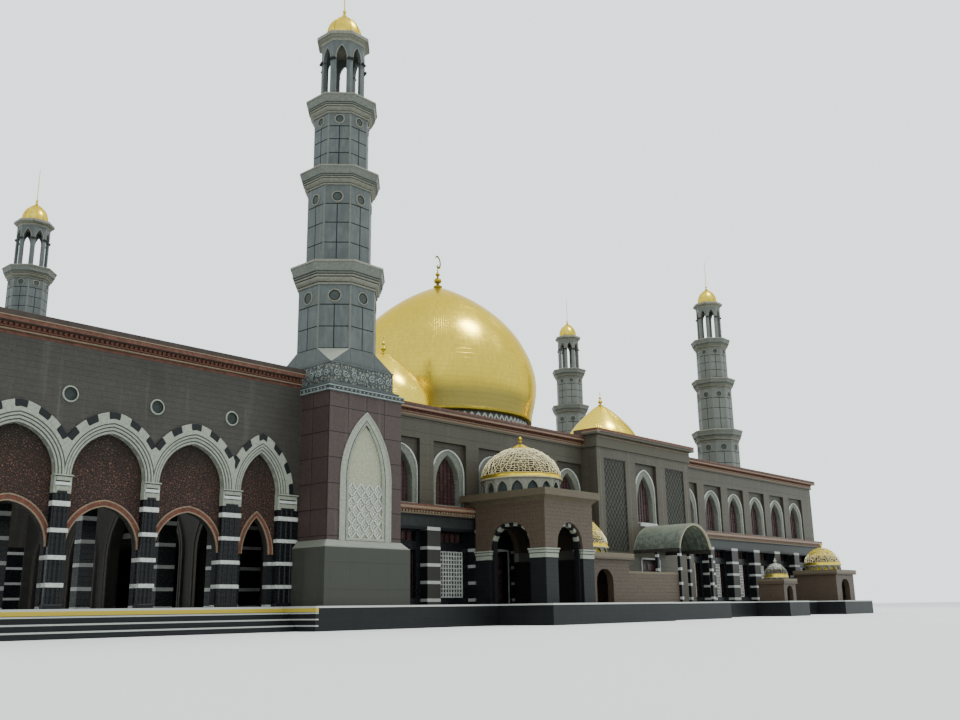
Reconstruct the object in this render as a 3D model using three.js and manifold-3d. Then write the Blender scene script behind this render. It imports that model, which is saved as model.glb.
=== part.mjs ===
// A large mosque as a one-tenth scale model: prayer hall, five domes, four minarets, two arcaded wings, a domed
// porch with a lower annex, a barrel canopy and two small domed pavilions, all on one podium.
// Every length below is in metres of the real building; the model is written out at 100 mm for each of them.
// X runs along the long front, Y from that front into the building, Z up from the ground.
import * as THREE from "three";
import { mergeVertices } from "three/addons/utils/BufferGeometryUtils.js";
import { ConvexGeometry } from "three/addons/geometries/ConvexGeometry.js";
import Module from "manifold-3d";

const wasm = await Module();
wasm.setup();

const MM_PER_METRE = 100; // scale 1:10
const GAP = 0.004; // clear joint between neighbouring pieces

// Levels
const PODIUM = 1.3;
const BASE = PODIUM + GAP;
const HALL_WALL_TOP = 13.3;
const HALL_ROOFLINE = 14.2;
const BAY_ROOFLINE = 14.7;
const WING_WALL_TOP = 13.7;
const WING_ROOFLINE = 14.75;

// Plan of the hall
const AXIS_Y = 23; // line of symmetry of the plan
const CENTRE_X = 32.6; // centre of the main dome
const HALL_END = 68.2;
const WALL = 0.8;
const END_WALL = 1.6;
const STOREY = 6.7; // joint between the storeys of the long walls, behind the beam and the gallery floor
const BAY_X = 32.2; // centre of the projecting bay
const BAY_HALF = 7.0;
const BAY_OUT = 1.5;
const WINDOW_PITCH = 4.5;
const FIRST_WINDOW = 9.0; // distance of the first window from the centre of the dome
const WINDOWS_LEFT = [0, 1, 2, 3, 4].map((k) => CENTRE_X - FIRST_WINDOW - WINDOW_PITCH * k);
const WINDOWS_RIGHT = [0, 1, 2, 3, 4, 5].map((k) => CENTRE_X + FIRST_WINDOW + WINDOW_PITCH * k);

// Minarets
const TOWER_HALF = 2.82;
const CARVED_HALF = 2.445;
const SHAFT_HALF = 2.33;
const FAR_MINARET_X = 70.3;
const FAR_MINARET_Y = 11.95;

// Wings
const WING_START = -30.9;
const WING_FACE = -0.3;
const WING_DEPTH = 6.9;
const WING_WALL = 0.7; // courtyard and end walls
const ARCADE_WALL = 0.3; // outer skin with the big arches, right in front of the recess wall
const SPRINGING = 7.45;
const BIG_ARCH = 1.9; // half width of an arcade arch
const LAST_ARCH = 1.25; // half width of the arch beside the tower
const ARCHES = [-28.15, -23.55, -18.95, -14.35, -9.75].map((x) => [x, BIG_ARCH]).concat([[-5.5, LAST_ARCH]]);

const ROUND_WINDOWS = [-25.85, -21.25, -16.65, -12.05, -7.55];
const LOW_ARCH_WIDE = 1.85; // half width of the openings in the wall behind the wide arches
const LOW_ARCH_NARROW = 0.9;

// Domes
const MAIN_DOME = [
  [9.35, 18.7],
  [9.62, 20.1],
  [9.95, 21.6],
  [10.05, 22.9],
  [9.85, 24.4],
  [9.2, 26.2],
  [8.1, 28.1],
  [6.4, 30.0],
  [4.25, 31.7],
  [2.15, 32.95],
];
const MAIN_APEX = 33.9;
const CORNER_DOME_OFFSET = [15.9, 9.0];

// Turns a three.js geometry into a solid, dropping the triangles that shrink to nothing on an axis.
function solidFrom(geometry) {
  geometry.deleteAttribute("normal");
  geometry.deleteAttribute("uv");
  const merged = mergeVertices(geometry, 1e-4);
  const kept = [];
  for (let i = 0; i < merged.index.count; i += 3) {
    const corners = [0, 1, 2].map((k) => merged.index.getX(i + k));
    if (new Set(corners).size === 3) kept.push(...corners);
  }
  return new wasm.Manifold(
    new wasm.Mesh({
      numProp: 3,
      vertProperties: new Float32Array(merged.attributes.position.array),
      triVerts: new Uint32Array(kept),
    }),
  );
}

function join(solids) {
  return solids.reduce((all, next) => all.add(next));
}

function cut(solid, tools) {
  return tools.reduce((rest, tool) => rest.subtract(tool), solid);
}

function block(x0, x1, y0, y1, z0, z1) {
  const geometry = new THREE.BoxGeometry(x1 - x0, y1 - y0, z1 - z0);
  geometry.translate((x0 + x1) / 2, (y0 + y1) / 2, (z0 + z1) / 2);
  return solidFrom(geometry);
}

function extrusion(outline, length) {
  const shape = new THREE.Shape(outline.map(([a, b]) => new THREE.Vector2(a, b)));
  return new THREE.ExtrudeGeometry(shape, { depth: length, bevelEnabled: false });
}

// An outline in X and Z carried from y0 to y1.
function alongY(outline, y0, y1) {
  const geometry = extrusion(outline, y1 - y0);
  geometry.rotateX(Math.PI / 2);
  geometry.translate(0, y1, 0);
  return solidFrom(geometry);
}

// An outline in Y and Z carried from x0 to x1.
function alongX(outline, x0, x1) {
  const geometry = extrusion(outline, x1 - x0);
  geometry.applyMatrix4(new THREE.Matrix4().set(0, 0, 1, x0, 1, 0, 0, 0, 0, 1, 0, 0, 0, 0, 0, 1));
  return solidFrom(geometry);
}

// An outline in X and Y carried from z0 to z1.
function upright(outline, z0, z1) {
  const geometry = extrusion(outline, z1 - z0);
  geometry.translate(0, 0, z0);
  return solidFrom(geometry);
}

// Outline of a two-centred pointed arch with straight jambs down to the foot.
function pointedArch(centre, half, springing, apex, foot, steps = 4) {
  const rise = apex - springing;
  const shift = (rise * rise - half * half) / (2 * half);
  const radius = half + shift;
  const top = Math.acos(shift / radius);
  const right = [];
  for (let i = 0; i < steps; i++) {
    const angle = (top * i) / steps;
    right.push([radius * Math.cos(angle) - shift, springing + radius * Math.sin(angle)]);
  }
  const left = right.map(([x, z]) => [-x, z]).reverse();
  const all = [[-half, foot], [half, foot], ...right, [0, apex], ...left];
  return all.map(([x, z]) => [centre + x, z]);
}

function circle(x, z, radius, steps = 8) {
  return Array.from({ length: steps }, (_, i) => {
    const angle = (2 * Math.PI * (i + 0.5)) / steps;
    return [x + radius * Math.cos(angle), z + radius * Math.sin(angle)];
  });
}

// A profile of radius and height turned about the vertical axis through x, y.
function turned(profile, segments, x = 0, y = 0) {
  const points = profile.map(([r, z]) => new THREE.Vector2(r, z));
  const geometry = new THREE.LatheGeometry(points, segments);
  geometry.rotateX(Math.PI / 2);
  geometry.translate(x, y, 0);
  return solidFrom(geometry);
}

// The same with flat sides that face the axes: the profile gives the distance of the flats.
function sided(profile, sides) {
  const reach = 1 / Math.cos(Math.PI / sides);
  const points = profile.map(([r, z]) => new THREE.Vector2(r * reach, z));
  const geometry = new THREE.LatheGeometry(points, sides);
  geometry.rotateY(Math.PI / sides);
  geometry.rotateX(Math.PI / 2);
  return solidFrom(geometry);
}

function podium() {
  const flat = (x0, x1, y0, y1) => block(x0, x1, y0, y1, 0, PODIUM);
  const parts = [
    flat(-4.2, 69.9, -3.8, 2 * AXIS_Y + 3.8),
    flat(69.5, 73.8, 8.4, 2 * AXIS_Y - 8.4),
    flat(10.4, 24.4, -8.2, -3.5),
    flat(24.2, 35.6, -6.6, -3.5),
    flat(45.7, 49.7, -6.9, -3.5),
    flat(58.6, 65.6, -6.6, -3.5),
  ];
  const wings = [
    [-1.0, 7.4],
    [2 * AXIS_Y - 7.4, 2 * AXIS_Y + 1.0],
  ];
  for (const [y0, y1] of wings) {
    for (let step = 0; step < 4; step++) {
      const out = 0.36 * step;
      parts.push(block(WING_START - 0.6 - out, -4.0, y0 - out, y1 + out, 0, PODIUM - 0.325 * step));
    }
  }
  return join(parts);
}

// Cuts for one upper window: a shallow square recess and a pointed opening through the wall.
function upperWindow(x, face, wall, head = 12.0, apex = 11.25) {
  return [
    block(x - 1.6, x + 1.6, face - 0.2, face + 0.25, 7.6, head),
    alongY(pointedArch(x, 1.15, 9.2, apex, 7.75), face - 0.2, face + wall + 0.2),
  ];
}

// Cuts for one bay of the lower storey: a tall screened window and a small one above it.
function lowerWindow(x) {
  return [
    block(x - 1.25, x + 1.25, -0.2, WALL + 0.2, 1.75, 4.75),
    block(x - 1.25, x + 1.25, -0.2, WALL + 0.2, 5.3, 5.95),
  ];
}

// One stretch of a long wall: each of its bays has an upper window and a lower one, or a door.
function wallStretch(x0, x1, windows, doorAt) {
  const tools = [];
  for (const x of windows) {
    tools.push(...upperWindow(x, 0, WALL));
    if (x === doorAt) tools.push(block(x - 1.3, x + 1.3, -0.2, WALL + 0.2, BASE - 0.1, 4.9));
    else tools.push(...lowerWindow(x));
  }
  return cut(block(x0, x1, 0, WALL, BASE, HALL_WALL_TOP), tools);
}

// Projecting bay of a long wall, with one window between two recessed panels.
function bayWall(hasDoor) {
  const b0 = BAY_X - BAY_HALF;
  const b1 = BAY_X + BAY_HALF;
  const outline = [
    [b0, -BAY_OUT],
    [b1, -BAY_OUT],
    [b1, WALL],
    [b1 - WALL, WALL],
    [b1 - WALL, -BAY_OUT + WALL],
    [b0 + WALL, -BAY_OUT + WALL],
    [b0 + WALL, WALL],
    [b0, WALL],
  ];
  const tools = upperWindow(BAY_X, -BAY_OUT, WALL, 12.5, 11.6);
  for (const side of [-1, 1]) {
    const x = BAY_X + side * 4.55;
    tools.push(block(x - 1.5, x + 1.5, -BAY_OUT - 0.2, -BAY_OUT + 0.15, 5.2, 12.5));
  }
  if (hasDoor) {
    tools.push(block(BAY_X - 1.3, BAY_X + 1.3, -BAY_OUT - 0.2, -BAY_OUT + WALL + 0.2, BASE - 0.1, 4.7));
  }
  return cut(upright(outline, BASE, HALL_WALL_TOP), tools);
}

function lowerHalf(wall) {
  return wall.intersect(block(-5, 75, -5, 5, 0, STOREY));
}

function upperHalf(wall) {
  return wall.intersect(block(-5, 75, -5, 5, STOREY + GAP, 20));
}

function courtWall() {
  const wall = block(-WALL, 0, TOWER_HALF + GAP, 2 * AXIS_Y - TOWER_HALF - GAP, BASE, HALL_WALL_TOP);
  const cornice = [
    block(-WALL - 0.12, -0.36, 7.1, 2 * AXIS_Y - 7.1, HALL_WALL_TOP, HALL_ROOFLINE),
    block(-WALL - 0.45, -0.36, 7.1, 2 * AXIS_Y - 7.1, HALL_WALL_TOP + 0.5, HALL_ROOFLINE),
  ];
  const portals = [11, 17, 23, 29, 35].map((y) =>
    alongX(pointedArch(y, 1.9, 5.0, y === AXIS_Y ? 8.6 : 7.8, BASE - 0.1), -WALL - 0.6, 0.2),
  );
  const doors = [4.4, 2 * AXIS_Y - 4.4].map((y) => block(-WALL - 0.2, 0.2, y - 0.8, y + 0.8, BASE - 0.1, 4.2));
  return cut(join([wall, ...cornice]), [...portals, ...doors]);
}

// Notch that clears the square foot of a far minaret.
function farNotch(y, z0, z1) {
  const half = CARVED_HALF + GAP;
  return block(FAR_MINARET_X - half, FAR_MINARET_X + half, y - half, y + half, z0, z1);
}

function endWall() {
  const near = 15.2;
  const far = 2 * AXIS_Y - near;
  const inner = HALL_END - END_WALL;
  const body = join([
    block(inner, HALL_END, WALL + GAP, 2 * AXIS_Y - WALL - GAP, BASE, HALL_WALL_TOP),
    block(HALL_END - 0.5, 72.4, near, far, BASE, HALL_WALL_TOP),
  ]);
  const tools = [
    block(inner - 0.2, 72.4 - WALL, near + WALL, far - WALL, BASE - 0.2, HALL_WALL_TOP + 0.2),
    farNotch(FAR_MINARET_Y, 0, 20),
    farNotch(2 * AXIS_Y - FAR_MINARET_Y, 0, 20),
  ];
  for (const y of [5.0, 2 * AXIS_Y - 5.0]) {
    tools.push(alongX(pointedArch(y, 1.15, 9.2, 11.25, 7.75), inner - 0.2, HALL_END + 0.2));
    tools.push(block(inner - 0.2, HALL_END + 0.2, y - 1.25, y + 1.25, 1.75, 4.75));
  }
  for (const y of [18.5, AXIS_Y, 2 * AXIS_Y - 18.5]) {
    tools.push(alongX(pointedArch(y, 1.15, 9.2, 11.25, 7.75), 72.4 - WALL - 0.2, 72.6));
  }
  return cut(body, tools);
}

// Frieze and projecting top band along the head of a long wall, stepping up over the bay and round the corner.
function longCornice() {
  const b0 = BAY_X - BAY_HALF;
  const b1 = BAY_X + BAY_HALF;
  const z = HALL_WALL_TOP + GAP;
  const back = 0.35;
  const stop = FAR_MINARET_Y - CARVED_HALF - 2 * GAP;
  const parts = [];
  for (const [out, low, top] of [
    [0.12, z, HALL_ROOFLINE],
    [0.45, z + 0.5, HALL_ROOFLINE],
  ]) {
    parts.push(block(TOWER_HALF + 0.12, b0 + 0.2, -out, back, low, top));
    parts.push(block(b1 - 0.2, HALL_END + out, -out, back, low, top));
    parts.push(block(HALL_END - 0.45, HALL_END + out, back - 0.1, stop, low, top));
  }
  for (const [out, low, top] of [
    [0.12, z, BAY_ROOFLINE],
    [0.45, z + 0.95, BAY_ROOFLINE],
  ]) {
    parts.push(block(b0 - out, b1 + out, -BAY_OUT - out, -BAY_OUT + 0.4, low, top));
    parts.push(block(b0 - out, b0 + 0.4, -BAY_OUT, back, low, top));
    parts.push(block(b1 - 0.4, b1 + out, -BAY_OUT, back, low, top));
  }
  return join(parts);
}

function endCornice() {
  const near = 15.2;
  const z = HALL_WALL_TOP + GAP;
  const start = FAR_MINARET_Y + CARVED_HALF + 2 * GAP;
  const parts = [];
  for (const [out, low] of [
    [0.12, z],
    [0.45, z + 0.5],
  ]) {
    for (const flip of [false, true]) {
      const at = (y) => (flip ? 2 * AXIS_Y - y : y);
      const strip = (x0, x1, y0, y1) => {
        const ys = [at(y0), at(y1)].sort((a, b) => a - b);
        return block(x0, x1, ...ys, low, HALL_ROOFLINE);
      };
      parts.push(strip(HALL_END - 0.45, HALL_END + 0.2, start, near + 0.4));
      parts.push(strip(HALL_END - 0.2, 72.4 + out, Math.max(near - out, start), near + 0.4));
    }
    parts.push(block(72.0, 72.4 + out, near, 2 * AXIS_Y - near, low, HALL_ROOFLINE));
  }
  return join(parts);
}

function hallRoof() {
  const z0 = HALL_WALL_TOP + GAP;
  const z1 = 13.7;
  const edge = 0.35 + GAP;
  const slab = (x0, x1, y0, y1) => block(x0, x1, y0, y1, z0, z1);
  const bayReach = BAY_OUT - 0.4 - GAP;
  const body = join([
    slab(-0.35, HALL_END - 0.45 - GAP, edge, 2 * AXIS_Y - edge),
    slab(BAY_X - BAY_HALF + 0.4 + GAP, BAY_X + BAY_HALF - 0.4 - GAP, -bayReach, 2 * AXIS_Y + bayReach),
    slab(HALL_END - 1, 72.0 - GAP, 15.6 + GAP, 2 * AXIS_Y - 15.6 - GAP),
  ]);
  const clear = TOWER_HALF + 0.11;
  const tools = [
    block(-5, clear, -5, clear, 12, 15),
    block(-5, clear, 2 * AXIS_Y - clear, 2 * AXIS_Y + 5, 12, 15),
    farNotch(FAR_MINARET_Y, 12, 15),
    farNotch(2 * AXIS_Y - FAR_MINARET_Y, 12, 15),
    upright(circle(CENTRE_X, AXIS_Y, 8.5, 32), 12, 15),
  ];
  for (const [x, y] of cornerDomeCentres()) tools.push(upright(circle(x, y, 3.3, 16), 12, 15));
  return cut(body, tools);
}

// Upper floor carried by the walls, open in the middle under the domes.
function galleryFloor() {
  const body = block(GAP, HALL_END - END_WALL - GAP, WALL + GAP, 2 * AXIS_Y - WALL - GAP, 6.5, 6.9);
  const clear = TOWER_HALF + GAP;
  return cut(body, [
    block(-1, clear, -1, clear, 6, 8),
    block(-1, clear, 2 * AXIS_Y - clear, 2 * AXIS_Y + 1, 6, 8),
    block(16, 50, 9, 2 * AXIS_Y - 9, 6, 8),
  ]);
}

// Piers, beam and string cornice that stand in front of the lower storey.
function lowerStorey(x0, x1, piers) {
  const back = -GAP;
  const parts = [
    block(x0, x1, -0.65, back, 6.0, 6.9),
    block(x0, x1, -0.85, back, 6.9, 7.2),
    block(x0, x1, -1.05, back, 7.2, 7.55),
  ];
  for (const x of piers) {
    parts.push(block(Math.max(x - 0.6, x0), Math.min(x + 0.6, x1), -0.65, back, BASE, 6.0));
  }
  return join(parts);
}

function cornerDomeCentres() {
  const [dx, dy] = CORNER_DOME_OFFSET;
  return [
    [CENTRE_X - dx, AXIS_Y - dy],
    [CENTRE_X + dx, AXIS_Y - dy],
    [CENTRE_X - dx, AXIS_Y + dy],
    [CENTRE_X + dx, AXIS_Y + dy],
  ];
}

function mainDrum() {
  const z0 = 13.7 + GAP;
  const ring = [
    [8.5, z0],
    [9.3, z0],
    [9.3, 14.4],
    [9.05, 14.5],
    [9.05, 18.2],
    [9.3, 18.7 - GAP],
    [8.5, 18.7 - GAP],
    [8.5, z0],
  ];
  return turned(ring, 32, CENTRE_X, AXIS_Y);
}

function mainDome() {
  const shell = [...MAIN_DOME, [0.55, 33.72], [0, MAIN_APEX]];
  const inner = [
    [0, 33.3],
    [4.0, 31.3],
    [8.0, 27.4],
    [9.5, 22.9],
    [8.9, 18.7],
    [MAIN_DOME[0][0], MAIN_DOME[0][1]],
  ];
  const finial = [
    [0, 33.5],
    [0.42, 33.6],
    [0.42, 33.95],
    [0.16, 34.1],
    [0.36, 34.45],
    [0.3, 34.75],
    [0.12, 35.3],
    [0.16, 35.6],
    [0.07, 35.8],
    [0.07, 36.1],
    [0, 36.1],
  ];
  return join([
    turned([...shell, ...inner], 32, CENTRE_X, AXIS_Y),
    turned(finial, 8, CENTRE_X, AXIS_Y),
    crescent(CENTRE_X, AXIS_Y, 36.55, 0.55, 0.12),
  ]);
}

// A crescent standing upright, open at the top.
function crescent(x, y, z, radius, thickness) {
  const outer = [];
  const inner = [];
  for (let i = 0; i <= 12; i++) {
    const angle = THREE.MathUtils.degToRad(120 + (300 * i) / 12);
    outer.push([x + radius * Math.cos(angle), z + radius * Math.sin(angle)]);
    inner.push([x + radius * 0.78 * Math.cos(angle), z + radius * 0.16 + radius * 0.8 * Math.sin(angle)]);
  }
  return alongY([...outer, ...inner.reverse()], y - thickness / 2, y + thickness / 2);
}

function cornerDome(x, y) {
  const z0 = 13.7 + GAP;
  const profile = [
    [3.35, z0],
    [3.75, z0],
    [3.75, 16.8],
    [3.93, 17.2],
    [3.72, 18.5],
    [3.2, 19.4],
    [2.38, 20.35],
    [1.4, 21.3],
    [0.25, 22.1],
    [0.2, 22.75],
    [0, 23.75],
    [0, 21.6],
    [2.6, 19.4],
    [3.35, 17.2],
    [3.35, z0],
  ];
  return turned(profile, 20, x, y);
}

// Square foot of a minaret: a broad tower with a blind pointed niche or a plain one, a carved block, broaches.
function minaretTower(broad) {
  const parts = [
    block(-CARVED_HALF, CARVED_HALF, -CARVED_HALF, CARVED_HALF, broad ? 13.5 : BASE, 15.15),
    broach(),
  ];
  if (!broad) return join(parts);
  const tower = block(-TOWER_HALF, TOWER_HALF, -TOWER_HALF, TOWER_HALF, BASE, 13.3);
  const niche = pointedArch(0.05, 1.52, 8.3, 11.53, 5.0);
  parts.push(
    cut(tower, [alongY(niche, -TOWER_HALF - 0.2, -TOWER_HALF + 0.4)]),
    block(-TOWER_HALF - 0.4, TOWER_HALF + 0.4, -TOWER_HALF - 0.4, WING_FACE - GAP, BASE, 4.5),
    towerSill(),
    block(-TOWER_HALF, TOWER_HALF, -TOWER_HALF, TOWER_HALF, 13.2, 13.6),
    block(-TOWER_HALF - 0.1, TOWER_HALF + 0.1, -TOWER_HALF - 0.1, WING_FACE - GAP, 13.3, 13.6),
    block(-2.7, 2.7, -2.7, 2.7, 13.6, 13.84),
  );
  return join(parts);
}

// Sloping top of the plinth of a broad tower.
function towerSill() {
  const points = [];
  for (const [reach, z] of [
    [TOWER_HALF + 0.4, 4.45],
    [TOWER_HALF + 0.03, 4.85],
  ]) {
    for (const x of [-reach, reach]) {
      for (const y of [-reach, WING_FACE - GAP]) points.push(new THREE.Vector3(x, y, z));
    }
  }
  return solidFrom(new ConvexGeometry(points));
}

function broach() {
  const points = [];
  for (const sx of [-1, 1]) {
    for (const sy of [-1, 1]) points.push(new THREE.Vector3(sx * CARVED_HALF, sy * CARVED_HALF, 15.1));
  }
  for (let i = 0; i < 8; i++) {
    const angle = Math.PI / 8 + (i * Math.PI) / 4;
    const reach = SHAFT_HALF / Math.cos(Math.PI / 8);
    points.push(new THREE.Vector3(reach * Math.cos(angle), reach * Math.sin(angle), 16.17));
  }
  return solidFrom(new ConvexGeometry(points));
}

// Eight-sided shaft in three tiers, each under a corbelled balcony.
function minaretShaft() {
  const profile = [[0, 16.17 + GAP]];
  const tiers = [
    [2.33, 16.17 + GAP, 20.16, 2.86, 21.6],
    [1.96, 21.0, 26.83, 2.49, 28.0],
    [1.7, 27.45, 31.91, 2.25, 33.1],
  ];
  for (const [half, low, corbel, reach, top] of tiers) {
    const flare = (reach - half) / 2;
    const step = (top - corbel) / 4;
    profile.push([half, low], [half, corbel]);
    for (const k of [1, 2]) {
      profile.push([half + flare * k, corbel + step * (k - 1) + step * 0.5]);
      if (k === 1) profile.push([half + flare * k, corbel + step * k]);
    }
    profile.push([reach, top], [reach - 0.18, top], [reach - 0.18, top - 0.55]);
  }
  profile.push([0, 32.55]);
  return sided(profile, 8);
}

// Open lantern of eight columns under a cornice and a ribbed cupola with its spire.
function minaretCrown() {
  const foot = 32.55 + GAP;
  const parts = [
    sided([[0, foot], [1.5, foot], [1.5, 33.25], [0, 33.25]], 8),
    sided(
      [
        [0, 36.9],
        [1.38, 36.9],
        [1.38, 37.4],
        [1.69, 37.6],
        [1.69, 37.95],
        [0, 37.95],
      ],
      8,
    ),
    turned(
      [
        [0, 37.9],
        [1.02, 37.9],
        [1.16, 38.4],
        [1.05, 39.0],
        [0.65, 39.6],
        [0.18, 39.95],
        [0.06, 40.4],
        [0.05, 43.2],
        [0.13, 43.4],
        [0, 43.8],
      ],
      10,
    ),
  ];
  for (let i = 0; i < 8; i++) {
    const angle = Math.PI / 8 + (i * Math.PI) / 4;
    const column = [[0, 33.2], [0.15, 33.2], [0.15, 36.95], [0, 36.95]];
    parts.push(turned(column, 5, 1.34 * Math.cos(angle), 1.34 * Math.sin(angle)));
  }
  return join(parts);
}

// Outer, end and courtyard walls of a wing in one piece, with arches down to the podium.
function wingWalls() {
  const y0 = WING_FACE;
  const y1 = WING_FACE + WING_DEPTH;
  const body = join([
    block(WING_START, -TOWER_HALF - GAP, y0, y0 + ARCADE_WALL, BASE, WING_WALL_TOP),
    block(WING_START, -WALL - GAP, y1 - WING_WALL, y1, BASE, WING_WALL_TOP),
    block(WING_START, WING_START + WING_WALL, y0, y1, BASE, WING_WALL_TOP),
  ]);
  const tools = [];
  for (const [x, half] of ARCHES) {
    const arch = pointedArch(x, half, SPRINGING, 9.65, BASE - 0.1, 5);
    tools.push(alongY(arch, y0 - 0.2, y0 + ARCADE_WALL + 0.2));
    tools.push(alongY(arch, y1 - WING_WALL - 0.2, y1 + 0.2));
  }
  for (const x of ROUND_WINDOWS) tools.push(alongY(circle(x, 11.32, 0.36), y0 - 0.2, y0 + ARCADE_WALL + 0.2));
  const doorway = pointedArch((y0 + y1) / 2, 1.2, 4.2, 6.1, BASE - 0.1);
  tools.push(alongX(doorway, WING_START - 0.2, WING_START + WING_WALL + 0.2));
  return cut(body, tools);
}

// Recessed wall close behind the arcade with a lower pointed opening in each bay.
function recessWall() {
  const y0 = WING_FACE + ARCADE_WALL + GAP;
  const y1 = y0 + 0.4;
  const body = block(WING_START + WING_WALL + GAP, -TOWER_HALF - GAP, y0, y1, BASE, WING_WALL_TOP);
  const openings = ARCHES.map(([x, half]) => {
    const reach = half > 1.5 ? LOW_ARCH_WIDE : LOW_ARCH_NARROW;
    return alongY(pointedArch(x, reach, 4.1, 6.13, BASE - 0.1), y0 - 0.2, y1 + 0.2);
  });
  const lights = ROUND_WINDOWS.map((x) => alongY(circle(x, 11.32, 0.36), y0 - 0.2, y1 + 0.2));
  return cut(body, [...openings, ...lights]);
}

// Stepped arch rings and capitals standing proud of the arcade.
function archivolts() {
  const y0 = WING_FACE - 0.14;
  const y1 = WING_FACE - GAP;
  const parts = [];
  for (const [x, half] of ARCHES) {
    parts.push(alongY(pointedArch(x, half + 0.95, SPRINGING, 10.75, SPRINGING - 0.1, 5), y0, y1));
    parts.push(block(x - half - 0.8, x + half + 0.8, y0, y1, SPRINGING - 0.85, SPRINGING));
  }
  const clear = ARCHES.map(([x, half]) => {
    const outline = pointedArch(x, half, SPRINGING, 9.65, BASE, 5);
    return alongY(outline, y0 - 0.2, y1 + 0.2);
  });
  const ends = [block(-40, WING_START, y0 - 1, y1 + 1, 0, 20), block(-3.1, 5, y0 - 1, y1 + 1, 0, 20)];
  return cut(join(parts), [...clear, ...ends]);
}

function wingRoof() {
  const y0 = WING_FACE;
  const y1 = WING_FACE + WING_DEPTH;
  const z0 = WING_WALL_TOP + GAP;
  const x1 = -TOWER_HALF - 0.11 - GAP;
  const edge = (out, low) => [
    block(WING_START - out, x1, y0 - out, y0 + 0.4, low, WING_ROOFLINE),
    block(WING_START - out, WING_START + 0.4, y0 - out, y1 + out, low, WING_ROOFLINE),
    block(WING_START - out, -WALL - 0.46, y1 - 0.4, y1 + out, low, WING_ROOFLINE),
  ];
  return join([
    block(WING_START, x1, y0, y1, z0, z0 + 0.4),
    block(x1 - 0.1, -WALL - GAP, TOWER_HALF + 0.11 + GAP, y1, z0, z0 + 0.4),
    ...edge(0.12, z0 + 0.15),
    ...edge(0.45, z0 + 0.55),
  ]);
}

// A square box with a projecting cornice; the dome stands over the round hole in its roof. Arches along X open
// its left side, arches along Y go through front and back.
function archedBox(x0, x1, y0, y1, top, wall, out, arches, hole) {
  const outside = [block(x0, x1, y0, y1, BASE, top), block(x0 - out, x1 + out, y0 - out, y1, top - 0.45, top)];
  const inside = block(x0 + wall, x1 - wall, y0 + wall, y1 - wall, BASE - 0.2, top - 0.5);
  const centreX = (x0 + x1) / 2;
  const [cx, cy, radius] = hole;
  const tools = [inside, upright(circle(cx, cy, radius, 16), top - 1, top + 1)];
  for (const [along, centre, half, springing, apex] of arches) {
    const arch = pointedArch(centre, half, springing, apex, BASE - 0.1);
    tools.push(along === "x" ? alongX(arch, x0 - 0.2, centreX) : alongY(arch, y0 - 0.2, y1 + 0.2));
  }
  return cut(join(outside), tools);
}

// Drum, rim, shell and finial of a small dome. The crown stands at rise above the rim.
function smallDome(x, y, radius, foot, rim, apex, wall, segments) {
  const height = apex - rim;
  const outer = [];
  const inner = [];
  for (let i = 0; i <= 5; i++) {
    const angle = (Math.PI / 2) * (i / 5);
    const r = Math.cos(angle) ** 0.92;
    outer.push([Math.max(r * radius, 0.1), rim + height * Math.sin(angle) ** 1.08]);
  }
  for (let i = 3; i >= 0; i--) {
    const angle = (Math.PI / 2) * (i / 3);
    const r = i === 3 ? 0 : (radius - wall) * Math.cos(angle);
    inner.push([r, rim + (height - wall * 1.5) * Math.sin(angle)]);
  }
  const profile = [
    [radius - wall, foot],
    [radius * 0.96, foot],
    [radius * 0.96, rim - 0.15],
    [radius * 1.04, rim - 0.1],
    ...outer,
    [0.14, apex + 0.2],
    [0, apex + 0.5],
    ...inner,
    [radius - wall, foot],
  ];
  return turned(profile, segments, x, y);
}

// Barrel vault on four posts, running out from the bay.
function canopy() {
  const x = 32.3;
  const outer = [];
  const inner = [];
  for (let i = 0; i <= 14; i++) {
    const angle = THREE.MathUtils.degToRad(12 + (156 * i) / 14);
    outer.push([x + 2.6 * Math.cos(angle), 4.8 + 2.6 * Math.sin(angle)]);
    inner.push([x + 2.45 * Math.cos(angle), 4.8 + 2.45 * Math.sin(angle)]);
  }
  const vault = alongY([...outer, ...inner.reverse()], -5.7, -BAY_OUT - GAP);
  const parts = [vault];
  for (const side of [-1, 1]) {
    const at = x + side * 2.43;
    parts.push(block(at - 0.13, at + 0.13, -5.7, -BAY_OUT - GAP, 5.12, 5.4));
    for (const y of [-5.7, -3.7]) parts.push(block(at - 0.13, at + 0.13, y, y + 0.3, BASE, 5.2));
  }
  return join(parts);
}

const part = new THREE.Group();

// Adds a solid as a named mesh, standing at x, y of the plan. A flipped one is turned over the line through y.
// The origin of the model is on the ground under the top of the main dome.
function piece(name, solid, colour, x = 0, y = 0, flip = false) {
  const mesh = solid.getMesh();
  const positions = new Float32Array(mesh.vertProperties).map((v) => v * MM_PER_METRE);
  const geometry = new THREE.BufferGeometry();
  geometry.setAttribute("position", new THREE.BufferAttribute(positions, 3));
  geometry.setIndex(new THREE.BufferAttribute(new Uint32Array(mesh.triVerts), 1));
  geometry.computeVertexNormals();
  const made = new THREE.Mesh(geometry, new THREE.MeshStandardMaterial({ color: colour }));
  made.name = name;
  made.scale.y = flip ? -1 : 1;
  made.position.set((x - CENTRE_X) * MM_PER_METRE, (y - AXIS_Y) * MM_PER_METRE, 0);
  part.add(made);
}

// The piece on the far side of the axis is the same solid turned over it.
function pair(name, solid, colour) {
  piece(name + "_near", solid, colour);
  piece(name + "_far", solid, colour, 0, 2 * AXIS_Y, true);
}

const GRANITE = 0x4b4644;
const BROWN = 0x4e403a;
const PALE = 0xa3a796;
const TERRACOTTA = 0x6e4438;
const BLACK = 0x232326;
const GREY = 0x737c7b;
const GOLD = 0xd9c46c;
const BRASS = 0xa08848;
const ROOF = 0x6b6a66;
const GREEN = 0x667064;

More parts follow.
